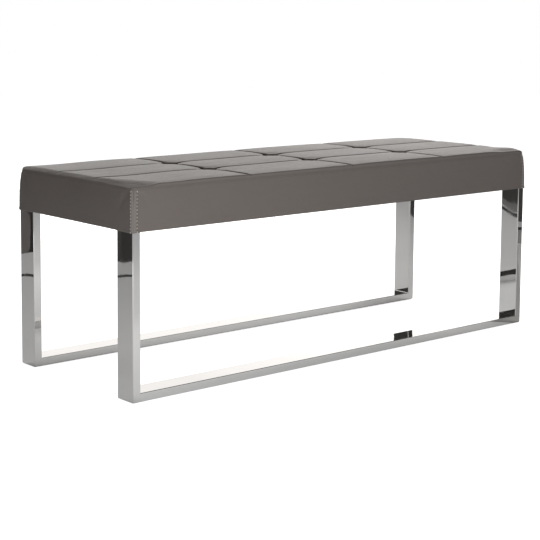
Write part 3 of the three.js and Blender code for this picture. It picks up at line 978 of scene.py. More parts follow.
    def skirt_relief(self, along: Vectors, drop: Vectors, code: Vectors, corner: Vectors) -> Vectors:
        """Return how far the skirt stands proud at a point.

        Args:
            along: Place along the side.
            drop: Distance below the seam round the top.
            code: A number for the side, which shifts its folds.
            corner: Distance to the nearest corner.

        Returns:
            Outward moves.
        """
        bead = -0.1 * np.exp(-(drop / 0.7) ** 2)
        bead = bead - 0.16 * np.exp(-((drop - self.row_drop) / 1.0) ** 2)
        inset = np.where(code < 1.5, self.row_insets[1], self.row_insets[0])
        welt = 0.75 * (1 - smoothstep(corner, inset - 1.0, inset + 1.2)) * smoothstep(drop, 3.0, 8.0)
        row = -0.35 * np.exp(-((corner - inset) / 0.8) ** 2) * smoothstep(drop, 4.0, 9.0)
        slow = 0.35 * np.sin(along / 61 + 1.7 * code) * np.sin(drop / 19 + code)
        slow = slow + 0.22 * np.sin(along / 23 + 2.9 * code + drop / 30)
        slow = slow * smoothstep(corner, 6, 60) * smoothstep(drop, 4, 25)
        return bead + welt + row + slow + self.puckers(along, drop, code, corner)

    @staticmethod
    def puckers(along: Vectors, drop: Vectors, code: Vectors, corner: Vectors) -> Vectors:
        """Return the soft folds that run down from each corner of the top."""
        relief = np.zeros_like(along)
        for number, (start, lean, reach, width, depth) in enumerate((
                (16, 0.9, 42, 6.5, -1.5), (30, 1.5, 30, 6.0, 0.7), (12, 0.35, 55, 5.0, -0.7))):
            wander = 1 + 0.18 * np.sin(3.1 * code + number + np.sign(along))
            line = start + lean * drop * 0.6 * wander
            share = np.clip(1 - (drop - 5) / (reach * wander), 0, 1) * smoothstep(drop, 3, 12)
            relief = relief + depth * share * np.exp(-((corner - line) / width) ** 2)
        return relief

    def rim(self, lines_x: Vectors, lines_y: Vectors) -> tuple[Vectors, Vectors, list[int]]:
        """Return the rim of the top's grid, in order, as plan places and point numbers."""
        width, depth = len(lines_x), len(lines_y)
        order = [(i, 0) for i in range(width - 1)] + [(width - 1, j) for j in range(depth - 1)]
        order += [(i, depth - 1) for i in range(width - 1, 0, -1)] + [(0, j) for j in range(depth - 1, 0, -1)]
        x = np.array([lines_x[i] for i, _ in order])
        y = np.array([lines_y[j] for _, j in order])
        return x, y, [j * width + i for i, j in order]

    def skirt_rings(self, x: Vectors, y: Vectors) -> list[tuple[Vectors, Vectors, Vectors]]:
        """Return the rings of the skirt, from below the seam round the top to the board, through the hem.

        Args:
            x: The rim's places along X.
            y: The rim's places along Y.

        Returns:
            Each ring's points, painted shade share and painted highlight share.
        """
        on_end = np.abs(np.abs(x) - self.top_half[0]) < np.abs(np.abs(y) - self.top_half[1])
        along = np.where(on_end, y, x)
        corner = np.where(on_end, self.top_half[1] - np.abs(y), self.top_half[0] - np.abs(x))
        code = np.where(on_end, 4.0, 0.0) + np.where(on_end, np.sign(x), np.sign(y))
        at_leg = np.where(on_end, smoothstep(np.abs(y), -self.leg_inner[1] - 3, -self.leg_inner[1] - 1),
                          smoothstep(np.abs(x), -self.leg_inner[0] - 3, -self.leg_inner[0] - 1))
        turn = self.thickness + 0.1 + (self.hem_turn - self.thickness) * (1 - at_leg)
        full = self.seam_height - self.hem_bottom
        drops = [0.35, 0.8, 1.3, 1.9, 2.6, 3.4, 4.2, 5.0, 5.6, 6.2, 7.0, 8.2, 10, 12.5, 15.5, 19, 23, 27.5, 32.5, 38,
                 44, 50, 56, 62, 68, 73.5, 78.5, 82.5, 85.3, 87.0]
        rings = [self.outside_ring(x, y, drop, along, code, corner) for drop in drops if drop < full - 0.8]
        last = rings[-1][0]
        inner = self.thickness
        low = self.hem_bottom - 0.8 * at_leg
        for inset, lift in ((0.05, 0.9), (0.3, 0.3), (0.9, 0.0), (None, 0.0), (None, inner), (inner, inner)):
            step = turn if inset is None else np.full_like(x, inset)
            points = self.inset_ring(last, step)
            points[:, 2] = low + lift
            rings.append((points, np.zeros_like(x), np.zeros_like(x)))
        wall = np.linspace(self.hem_bottom + 4, self.board_top + self.clearance, 6)
        for height in wall:
            points = self.plan_ring(x, y, np.full_like(x, height))
            points = self.inset_ring(points, np.full_like(x, inner))
            points[:, 2] = height
            rings.append((points, np.zeros_like(x), np.zeros_like(x)))
        return rings

    def plan_ring(self, x: Vectors, y: Vectors, height: Vectors) -> Vectors:
        """Return the plain skirt's ring at a height, with rounded corners."""
        half = self.cover_half(height)
        climb = (height - self.hem_bottom) / (self.seam_height - self.hem_bottom)
        place_x, place_y = x / self.top_half[0] * half[:, 0], y / self.top_half[1] * half[:, 1]
        points = np.stack([place_x, place_y, height], -1)
        radius = self.hem_radius + (self.corner_radius - self.hem_radius) * climb
        self.round_corners(points, np.abs(place_x), np.abs(place_y), half, radius)
        return points

    @staticmethod
    def outward(points: Vectors) -> Vectors:
        """Return the direction straight out from a closed ring, in plan."""
        along = np.roll(points, -1, 0)[:, :2] - np.roll(points, 1, 0)[:, :2]
        out = np.stack([along[:, 1], -along[:, 0]], -1)
        return out / np.maximum(np.linalg.norm(out, axis=1, keepdims=True), 1e-9)

    def inset_ring(self, points: Vectors, inset: Vectors) -> Vectors:
        """Return a ring moved inwards along X and Y, with its corners kept in line."""
        moved = points.copy()
        half = np.abs(points[:, :2]).max(0)
        share_x = np.clip(1 - (half[0] - np.abs(points[:, 0])) / 12.0, 0, 1) ** 2
        share_y = np.clip(1 - (half[1] - np.abs(points[:, 1])) / 12.0, 0, 1) ** 2
        moved[:, 0] -= np.sign(points[:, 0]) * inset * np.where(share_x > 0, share_x, 0)
        moved[:, 1] -= np.sign(points[:, 1]) * inset * np.where(share_y > 0, share_y, 0)
        return moved

    def outside_ring(self, x: Vectors, y: Vectors, drop: float, along: Vectors, code: Vectors,
                     corner: Vectors) -> tuple[Vectors, Vectors, Vectors]:
        """Return one ring of the skirt's outside, its painted shade share and its painted highlight share."""
        drops = np.full_like(x, drop)
        points = self.plan_ring(x, y, self.seam_height - drops)
        proud = self.skirt_relief(along, drops, code, corner)
        full = self.seam_height - self.hem_bottom
        flare = 1.0 * np.clip(1 - corner / 16, 0, 1) * np.clip((drop - full + 16) / 16, 0, 1) ** 2
        proud = proud + flare + 0.3 * math.exp(-((full - drop) / 5) ** 2)
        points[:, :2] += self.outward(points) * proud[:, None]
        points[:, 2] += 0.35 * np.sin(along / 37 + code) * np.clip(drop / full, 0, 1) ** 2
        inset = np.where(code < 1.5, self.row_insets[1], self.row_insets[0])
        below = smoothstep(drops, self.row_drop, self.row_drop + 2)
        # Painted shade in the seam under the top, in the stitch rows' grooves and along each corner seam, which has no
        # relief of its own.
        crease = 0.1 * np.exp(-(drops / 1.2) ** 2) + 0.18 * np.exp(-((drops - self.row_drop) / 0.8) ** 2)
        crease = crease + 0.6 * below * np.exp(-((corner - inset) / 0.8) ** 2)
        seam = below * (0.75 * np.exp(-((drops - 12) / 14) ** 2) + 0.25) * np.where(code < 1.5, 1.0, 0.0)
        crease = crease + seam * np.exp(-((corner - self.corner_seam) / 0.5) ** 2)
        # Painted highlight on the strip between each corner and its stitch row.
        rub = below * (1 - smoothstep(corner, inset - 1.5, inset + 1.5))
        return points, np.minimum(crease, 0.9), rub

    def build(self) -> bpy.types.Object:
        """Build the closed cushion with its cover.

        Returns:
            The cushion.
        """
        lines_x, lines_y = self.lines(0), self.lines(1)
        grid_x, grid_y = np.meshgrid(lines_x, lines_y)
        points, crease, rub = self.top(grid_x, grid_y, self.cloth_lift(lines_x, lines_y))
        width, depth = len(lines_x), len(lines_y)
        faces = [(j * width + i, j * width + i + 1, (j + 1) * width + i + 1, (j + 1) * width + i)
                 for j in range(depth - 1) for i in range(width - 1)]
        rim_x, rim_y, rim = self.rim(lines_x, lines_y)
        # Painted shade along the seam round the top.
        crease.reshape(-1)[rim] = 0.12
        rings = self.skirt_rings(rim_x, rim_y)
        count, first = len(rim), width * depth
        for k, corner in enumerate(rim):
            faces.append((corner, first + k, first + (k + 1) % count, rim[(k + 1) % count]))
        for number in range(len(rings) - 1):
            faces += ring_faces(first + number * count, first + (number + 1) * count, count)
        last = first + (len(rings) - 1) * count
        faces.append(tuple(range(last + count - 1, last - 1, -1)))
        everything = np.concatenate([points.reshape(-1, 3), *[ring for ring, _, _ in rings]])
        cushion = mesh_object("seat_cushion", everything, faces, [LEATHERETTE, FOAM])
        cushion.data.polygons[-1].material_index = 1
        paint(cushion, "crease", np.concatenate([crease.ravel(), *[share for _, share, _ in rings]]))
        paint(cushion, "rub", np.concatenate([rub.ravel(), *[share for _, _, share in rings]]))
        self.turn_outwards(cushion)
        return cushion

    @staticmethod
    def turn_outwards(cushion: bpy.types.Object) -> None:
        """Turn all faces of the closed cushion outwards."""
        work = bmesh.new()
        work.from_mesh(cushion.data)
        bmesh.ops.recalc_face_normals(work, faces=work.faces)
        work.to_mesh(cushion.data)
        work.free()

    def dress(self, cushion: bpy.types.Object) -> None:
        """Hide the imported parts that the cushion replaces, and hang it on the root body."""
        panels = [f"top_panel_r{row + 1}_c{column + 1}" for row in range(self.rows) for column in range(self.columns)]
        boxing = [f"boxing_{side}" for side in ("front", "rear", "left", "right")]
        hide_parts("foam_pad", *panels, *boxing)
        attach(cushion, "root")


# Stitches and staples


def stitch_tree() -> bpy.types.NodeTree:
    """Return the tree that lays arched stitches or staples along a path.

    Returns:
        The geometry node tree. It reads the way out of the surface from the attribute face.
    """
    name = "stitches_along_path"
    if name in bpy.data.node_groups:
        return bpy.data.node_groups[name]
    tree = bpy.data.node_groups.new(name, "GeometryNodeTree")
    nodes = Nodes(tree)
    new = tree.interface.new_socket
    new("Path", in_out="INPUT", socket_type="NodeSocketGeometry")
    for label in ("Pitch", "Length", "Radius", "Arch", "Turn"):
        new(label, in_out="INPUT", socket_type="NodeSocketFloat")
    new("Seed", in_out="INPUT", socket_type="NodeSocketInt")
    new("Finish", in_out="INPUT", socket_type="NodeSocketMaterial")
    new("Stitches", in_out="OUTPUT", socket_type="NodeSocketGeometry")
    given = nodes.add("NodeGroupInput").outputs
    curve = nodes.add("GeometryNodeMeshToCurve", {0: given["Path"]}).outputs[0]
    places = nodes.add("GeometryNodeResampleCurve", {"Curve": curve, "Length": given["Pitch"]}, mode="LENGTH")
    half = nodes.math("MULTIPLY", given["Length"], 0.5)
    back = nodes.math("MULTIPLY", half, -1.0)
    sunk = nodes.math("MULTIPLY", given["Radius"], -1.0)
    start = nodes.add("ShaderNodeCombineXYZ", {0: back, 2: sunk}).outputs[0]
    middle = nodes.add("ShaderNodeCombineXYZ", {2: given["Arch"]}).outputs[0]
    end = nodes.add("ShaderNodeCombineXYZ", {0: half, 2: sunk}).outputs[0]
    arch = nodes.add("GeometryNodeCurveQuadraticBezier",
                     {"Resolution": 5, "Start": start, "Middle": middle, "End": end}).outputs[0]
    ring = nodes.add("GeometryNodeCurvePrimitiveCircle", {"Resolution": 6, "Radius": given["Radius"]}).outputs[0]
    stitch = nodes.add("GeometryNodeCurveToMesh", {"Curve": arch, "Profile Curve": ring, "Fill Caps": True}).outputs[0]
    tangent = nodes.add("GeometryNodeInputTangent").outputs[0]
    face = nodes.add("GeometryNodeInputNamedAttribute", {"Name": "face"}, data_type="FLOAT_VECTOR").outputs[0]
    aligned = nodes.add("FunctionNodeAlignRotationToVector", {"Vector": tangent}, axis="X").outputs[0]
    outward = nodes.add("FunctionNodeAlignRotationToVector", {"Rotation": aligned, "Vector": face},
                        axis="Z", pivot_axis="X").outputs[0]
    sway = nodes.add("FunctionNodeRandomValue", {2: -0.05, 3: 0.05, "Seed": given["Seed"]}, data_type="FLOAT").outputs[1]
    twist = nodes.add("ShaderNodeCombineXYZ", {2: nodes.math("ADD", given["Turn"], sway)}).outputs[0]
    turned = nodes.add("FunctionNodeRotateRotation", {"Rotation": outward}, rotation_space="LOCAL")
    spin = nodes.add("FunctionNodeEulerToRotation", {0: twist}).outputs[0]
    nodes.feed(turned.inputs[1], spin)
    laid = nodes.add("GeometryNodeInstanceOnPoints",
                     {"Points": places.outputs[0], "Instance": stitch, "Rotation": turned.outputs[0]}).outputs[0]
    plain = nodes.add("GeometryNodeRealizeInstances", {0: laid}).outputs[0]
    smooth = nodes.add("GeometryNodeSetShadeSmooth", {"Geometry": plain}).outputs[0]
    dressed = nodes.add("GeometryNodeSetMaterial", {"Geometry": smooth, "Material": given["Finish"]}).outputs[0]
    nodes.add("NodeGroupOutput", {0: dressed})
    return tree


def grown(path: bpy.types.Object, tree: bpy.types.NodeTree, name: str, values: dict) -> bpy.types.Object:
    """Run a geometry node tree on an object and keep the result as a plain mesh.

    Args:
        path: The object that the tree reads. It is removed.
        tree: The tree.
        name: Name of the new piece.
        values: The tree's inputs by name.

    Returns:
        The new piece.
    """
    modifier = path.modifiers.new(name, "NODES")
    modifier.node_group = tree
    sockets = {item.name: item.identifier for item in tree.interface.items_tree
               if item.item_type == "SOCKET" and item.in_out == "INPUT"}
    for label, value in values.items():
        modifier[sockets[label]] = value
    path.data.update()
    scene = bpy.context.evaluated_depsgraph_get()
    scene.update()
    mesh = bpy.data.meshes.new_from_object(path.evaluated_get(scene), depsgraph=scene)
    mesh.name = name
    bpy.data.objects.remove(path)
    made = bpy.data.objects.new(name, mesh)
    bpy.context.scene.collection.objects.link(made)
    return made


def path_object(name: str, points: Vectors, faces_out: Vectors, closed: Sequence[bool],
                lengths: Sequence[int]) -> bpy.types.Object:
    """Make an object of plain edges for stitches to follow.

    Args:
        name: Its name.
        points: All points of all paths, in millimetres.
        faces_out: The way out of the surface at each point.
        closed: Whether each path closes on itself.
        lengths: Points in each path.

    Returns:
        The object.
    """
    edges: list[tuple[int, int]] = []
    first = 0
    for loop, length in zip(closed, lengths):
        edges += [(first + k, first + k + 1) for k in range(length - 1)]
        if loop:
            edges.append((first + length - 1, first))
        first += length
    mesh = bpy.data.meshes.new(name)
    mesh.from_pydata((points * METRES).tolist(), edges, [])
    layer = mesh.attributes.new("face", "FLOAT_VECTOR", "POINT")
    layer.data.foreach_set("vector", np.ascontiguousarray(faces_out, dtype=np.float32).ravel())
    made = bpy.data.objects.new(name, mesh)
    bpy.context.scene.collection.objects.link(made)
    return made


@dataclass
class Topstitching:
    """The row of stitches under the seam round the top, and the two rows beside each corner seam."""

    cushion: Cushion
    pitch: float = 6.8
    length: float = 2.9
    radius: float = 0.8
    arch: float = 1.0
    sink: float = 0.85

    def rows(self) -> tuple[Vectors, Vectors, list[bool], list[int]]:
        """Return the rows' points, the way out at each, whether they close, and their lengths."""
        seat = self.cushion
        x, y, _ = seat.rim(seat.lines(0), seat.lines(1))
        rings = [ring for ring, _, _ in seat.skirt_rings(x, y)]
        level = min(range(12), key=lambda k: abs(seat.seam_height - rings[k][0, 2] - seat.row_drop))
        top_row = rings[level]
        out = np.column_stack([seat.outward(top_row), np.zeros(len(x))])
        points, faces, closed, lengths = [top_row - out * self.sink], [out], [True], [len(x)]
        levels = [k for k in range(len(rings)) if seat.seam_height - rings[k][0, 2] > seat.row_drop + 2.5]
        outside = [k for k in levels if k < 30]
        on_end = np.abs(np.abs(x) - seat.top_half[0]) < np.abs(np.abs(y) - seat.top_half[1])
        corner = np.where(on_end, seat.top_half[1] - np.abs(y), seat.top_half[0] - np.abs(x))
        for sign_x in (-1, 1):
            for sign_y in (-1, 1):
                for end in (False, True):
                    here = (np.sign(x) == sign_x) & (np.sign(y) == sign_y) & (on_end == end)
                    index = int(np.argmin(np.where(here, np.abs(corner - seat.row_insets[0 if end else 1]), 1e9)))
                    row = np.array([rings[k][index] for k in outside])
                    points.append(row)
                    faces.append(np.array([(*seat.outward(rings[k])[index], 0.0) for k in outside]))
                    closed.append(False)
                    lengths.append(len(outside))
        return np.concatenate(points), np.concatenate(faces), closed, lengths

    def build(self) -> bpy.types.Object:
        """Lay the stitches and return them as one piece."""
        points, faces, closed, lengths = self.rows()
        path = path_object("stitch_rows", points + faces * 0.1, faces, closed, lengths)
        return grown(path, stitch_tree(), "topstitching", {
            "Pitch": self.pitch * METRES, "Length": self.length * METRES, "Radius": self.radius * METRES,
            "Arch": self.arch * METRES, "Turn": 0.0, "Seed": 11, "Finish": THREAD.material()})

    def dress(self, stitches: bpy.types.Object) -> None:
        """Say what the stitches ride on."""
        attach(stitches, "root")


# Leg loops


@dataclass
class LegLoop:
    """One closed loop of flat tube, welded at its corners and polished all round."""

    side: Side
    thickness: float = 19.0
    edge_radius: float = 1.5
    bevel_steps: int = 4

    def nodes(self) -> list[str]:
        """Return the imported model's tubes that this loop stands for."""
        name = self.side.name.lower()
        return [f"{name}_leg_left", f"{name}_leg_right", f"{name}_floor_rail", f"{name}_top_rail"]

    def build(self) -> bpy.types.Object:
        """Build the loop with rounded edges, also at its inner corners.

        Returns:
            The loop.
        """
        name = self.side.name.lower()
        rail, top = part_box(f"{name}_floor_rail"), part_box(f"{name}_top_rail")
        low, high = np.array(rail[0]) / METRES, np.array(top[1]) / METRES
        wall = self.thickness
        outer = [(low[0], low[2]), (high[0], low[2]), (high[0], high[2]), (low[0], high[2])]
        inner = [(low[0] + wall, low[2] + wall), (high[0] - wall, low[2] + wall),
                 (high[0] - wall, high[2] - wall), (low[0] + wall, high[2] - wall)]
        points = [(x, y, z) for y in (low[1], high[1]) for x, z in outer + inner]
        faces = []
        for k in range(4):
            after = (k + 1) % 4
            faces.append((k, after, 4 + after, 4 + k))
            faces.append((8 + k, 12 + k, 12 + after, 8 + after))
            faces.append((k, 8 + k, 8 + after, after))
            faces.append((4 + k, 4 + after, 12 + after, 12 + k))
        loop = mesh_object(f"{name}_loop", np.array(points), faces, [STEEL])
        self.round_edges(loop)
        return loop

    def round_edges(self, loop: bpy.types.Object) -> None:
        """Round all edges but the flat mitres, in the mesh."""
        work = bmesh.new()
        work.from_mesh(loop.data)
        bmesh.ops.recalc_face_normals(work, faces=work.faces)
        sharp = [edge for edge in work.edges if edge.calc_face_angle(0.0) > 0.5]
        bmesh.ops.bevel(work, geom=sharp, offset=self.edge_radius * METRES, segments=self.bevel_steps,
                        profile=0.5, affect="EDGES")
        work.to_mesh(loop.data)
        work.free()
        loop.data.shade_smooth()
        even = loop.modifiers.new("flat_walls", "WEIGHTED_NORMAL")
        even.mode, even.weight = "FACE_AREA", 100

    def dress(self, loop: bpy.types.Object) -> None:
        """Hide the imported tubes that the loop replaces, and hang it on the root body."""
        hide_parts(*self.nodes())
        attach(loop, "root")


# Underside


@dataclass
class SeatBoard:
    """Plywood board with its holes, and with eased corners inside the cover's corners."""

    corner_radius: float = 10.0
    steps: int = 5

    def build(self) -> bpy.types.Object:
        """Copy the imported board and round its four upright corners.

        Returns:
            The board.
        """
        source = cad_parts["seat_board"].data
        work = bmesh.new()
        work.from_mesh(source)
        bmesh.ops.remove_doubles(work, verts=work.verts, dist=1e-6)
        bmesh.ops.dissolve_limit(work, angle_limit=0.002, verts=work.verts, edges=work.edges)
        reach = max(vertex.co.x for vertex in work.verts), max(vertex.co.y for vertex in work.verts)
        upright = [edge for edge in work.edges if all(
            abs(abs(vertex.co.x) - reach[0]) < 1e-5 and abs(abs(vertex.co.y) - reach[1]) < 1e-5
            for vertex in edge.verts)]
        bmesh.ops.bevel(work, geom=upright, offset=self.corner_radius * METRES, segments=self.steps,
                        profile=0.5, affect="EDGES")
        bmesh.ops.recalc_face_normals(work, faces=work.faces)
        mesh = bpy.data.meshes.new("plywood_board")
        work.to_mesh(mesh)
        work.free()
        mesh.materials.append(PLYWOOD.material())
        board = bpy.data.objects.new("plywood_board", mesh)
        bpy.context.scene.collection.objects.link(board)
        return board

    def dress(self, board: bpy.types.Object) -> None:
        """Hide the imported board that this one replaces, and hang it on the root body."""
        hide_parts("seat_board")
        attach(board, "root")


@dataclass
class DustCover:
    """Thin cloth stapled to the battens, which sags a little between them."""

    sag: float = 3.0
    pucker: float = 0.5
    step: float = 9.0
    staple_pitch: float = 46.0
    staple_inset: float = 9.0
    staple_length: float = 9.5

    def box(self) -> tuple[Vectors, Vectors]:
        """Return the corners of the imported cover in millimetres."""
        low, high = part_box("dust_cover")
        return np.array(low) / METRES, np.array(high) / METRES

    def surface(self, x: Vectors, y: Vectors) -> Vectors:
        """Return how far the cloth hangs at each place."""
        low, high = self.box()
        edge_x, edge_y = high[0] - np.abs(x), high[1] - np.abs(y)
        inner = smoothstep(np.minimum(edge_x, edge_y), 18, 90)
        bow = np.cos(np.clip(y / high[1], -1, 1) * math.pi / 2) * np.cos(np.clip(x / high[0], -1, 1) * math.pi / 2) ** 0.5
        pull = np.cos(np.where(edge_x < edge_y, y, x) / self.staple_pitch * 2 * math.pi)
        near = np.exp(-((np.minimum(edge_x, edge_y) - 24) / 12) ** 2)
        return self.sag * inner * bow - self.pucker * near * pull * 0.5

    def build(self) -> bpy.types.Object:
        """Build the cloth with its thickness.

        Returns:
            The cloth.
        """
        low, high = self.box()
        count_x, count_y = (int((high[k] - low[k]) / self.step) for k in (0, 1))
        x, y = np.meshgrid(np.linspace(low[0], high[0], count_x + 1), np.linspace(low[1], high[1], count_y + 1))
        under = low[2] - self.surface(x, y)
        thick = high[2] - low[2]
        lower = np.stack([x, y, under], -1).reshape(-1, 3)
        upper = np.stack([x, y, under + thick], -1).reshape(-1, 3)
        width = count_x + 1
        quads = [(j * width + i, j * width + i + 1, (j + 1) * width + i + 1, (j + 1) * width + i)
                 for j in range(count_y) for i in range(count_x)]
        total = len(lower)
        faces = [tuple(reversed(face)) for face in quads] + [tuple(total + k for k in face) for face in quads]
        rim = [i for i in range(width)] + [j * width + count_x for j in range(1, count_y + 1)]
        rim += [count_y * width + i for i in range(count_x - 1, -1, -1)] + [j * width for j in range(count_y - 1, 0, -1)]
        for k, corner in enumerate(rim):
            after = rim[(k + 1) % len(rim)]
            faces.append((corner, after, total + after, total + corner))
        cloth = mesh_object("cambric_cover", np.concatenate([lower, upper]), faces, [CAMBRIC])
        finish_mesh(cloth)
        return cloth

    def staples(self) -> bpy.types.Object:
        """Lay the staples round the cloth's edge and return them as one piece."""
        low, high = self.box()
        inset = self.staple_inset
        half = (high - low)[:2] / 2 - inset
        corners = np.array([(-half[0], -half[1]), (half[0], -half[1]), (half[0], half[1]), (-half[0], half[1])])
        points = np.column_stack([corners, np.full(4, low[2] - 0.15)])
        down = np.tile((0.0, 0.0, -1.0), (4, 1))
        path = path_object("staple_rows", points, down, [True], [4])
        return grown(path, stitch_tree(), "cover_staples", {
            "Pitch": self.staple_pitch * METRES, "Length": self.staple_length * METRES, "Radius": 0.45 * METRES,
            "Arch": 0.8 * METRES, "Turn": 0.25, "Seed": 5, "Finish": ZINC.material()})

    def dress(self, cloth: bpy.types.Object, staples: bpy.types.Object) -> None:
        """Hide the imported cover that the cloth replaces, and hang the cloth and its staples on the root body."""
        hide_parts("dust_cover")
        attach(cloth, "root")
        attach(staples, "root")


@dataclass
class SeatBolts:
    """Six button-head bolts up through the top rails."""

    socket_radius: float = 2.3
    socket_depth: float = 1.6
    segments: int = 24

    def names(self) -> list[str]:
        """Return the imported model's bolts."""
        return [f"seat_bolt_{side.name.lower()}_{number}" for side in Side for number in (1, 2, 3)]

    def pattern(self) -> bpy.types.Object:
        """Build one bolt, with its axis on Z and the seat of its head at height zero."""
        low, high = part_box(self.names()[0])
        radius, length = (high.x - low.x) / 2 / METRES, (high.z - low.z) / METRES
        head = 2.5
        rings: list[tuple[float, float, int]] = [
            (self.socket_radius, -head + self.socket_depth, 6), (self.socket_radius, -head, 6),
            (self.socket_radius + 0.5, -head, 0), (radius - 2.0, -head + 0.25, 0), (radius - 0.8, -head + 0.9, 0),
            (radius - 0.15, -head + 1.8, 0), (radius, -0.3, 0), (radius - 0.2, 0, 0), (3.0, 0, 0),
            (3.0, length - head - 0.6, 0), (2.4, length - head, 0)]
        points, faces = [], []
        for ring_radius, height, flats in rings:
            for k in range(self.segments):
                angle = 2 * math.pi * k / self.segments
                reach = ring_radius
                if flats:
                    turn = angle % (2 * math.pi / flats) - math.pi / flats
                    reach = ring_radius * math.cos(math.pi / flats) / math.cos(turn)
                points.append((reach * math.cos(angle), reach * math.sin(angle), height))
        for number in range(len(rings) - 1):
            faces += ring_faces(number * self.segments, (number + 1) * self.segments, self.segments)
        faces.append(tuple(range(self.segments)))
        faces.append(tuple(range(len(points) - self.segments, len(points))))
        bolt = mesh_object("bolt_pattern", np.array(points), faces, [ZINC])
        finish_mesh(bolt)
        bolt.data.set_sharp_from_angle(angle=math.radians(40))
        return bolt

    def build(self) -> bpy.types.Object:
        """Place the bolts and return them as one piece."""
        places = []
        for name in self.names():
            low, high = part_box(name)
            places.append(((low.x + high.x) / 2 / METRES, (low.y + high.y) / 2 / METRES, low.z / METRES + 2.5))
        points = np.array(places)
        path = path_object("bolt_places", points, np.tile((0.0, 0.0, 1.0), (len(points), 1)), [], [])
        pattern = self.pattern()
        bolts = grown(path, fastener_tree(), "seat_bolts",
                      {"Fastener": pattern, "Seed": 3, "Finish": ZINC.material()})
        bpy.data.objects.remove(pattern)
        return bolts

    def dress(self, bolts: bpy.types.Object) -> None:
        """Hide the imported bolts that these replace, and hang them on the root body."""
        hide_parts(*self.names())
        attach(bolts, "root")


def fastener_tree() -> bpy.types.NodeTree:
    """Return the tree that sets one fastener at each point, each turned its own way."""
    tree = bpy.data.node_groups.new("fasteners_at_points", "GeometryNodeTree")
    nodes = Nodes(tree)
    new = tree.interface.new_socket
    new("Places", in_out="INPUT", socket_type="NodeSocketGeometry")
    new("Fastener", in_out="INPUT", socket_type="NodeSocketObject")
    new("Seed", in_out="INPUT", socket_type="NodeSocketInt")
    new("Finish", in_out="INPUT", socket_type="NodeSocketMaterial")
    new("Fasteners", in_out="OUTPUT", socket_type="NodeSocketGeometry")
    given = nodes.add("NodeGroupInput").outputs
    shape = nodes.add("GeometryNodeObjectInfo", {"Object": given["Fastener"]}).outputs["Geometry"]
    turn = nodes.add("FunctionNodeRandomValue", {2: 0.0, 3: 6.2832, "Seed": given["Seed"]}, data_type="FLOAT").outputs[1]
    euler = nodes.add("ShaderNodeCombineXYZ", {2: turn}).outputs[0]
    spin = nodes.add("FunctionNodeEulerToRotation", {0: euler}).outputs[0]
    placed = nodes.add("GeometryNodeInstanceOnPoints",
                       {"Points": given["Places"], "Instance": shape, "Rotation": spin}).outputs[0]
    plain = nodes.add("GeometryNodeRealizeInstances", {0: placed}).outputs[0]
    dressed = nodes.add("GeometryNodeSetMaterial", {"Geometry": plain, "Material": given["Finish"]}).outputs[0]
    nodes.add("NodeGroupOutput", {0: dressed})
    return tree


def dress_packed_nodes() -> None:
    """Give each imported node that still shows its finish."""
    finishes = {"floor_glide": NYLON, "batten": PINE, "tuft_tie": TWINE, "tuft_anchor": NYLON, "tee_nut": ZINC}
    for name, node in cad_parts.items():
        if node.hide_render:
            continue
        finish = next(value for start, value in finishes.items() if name.startswith(start))
        node.data.materials.clear()
        node.data.materials.append(finish.material())
        log.info("%s keeps its shape, in %s", name, finish.label)


# Studio


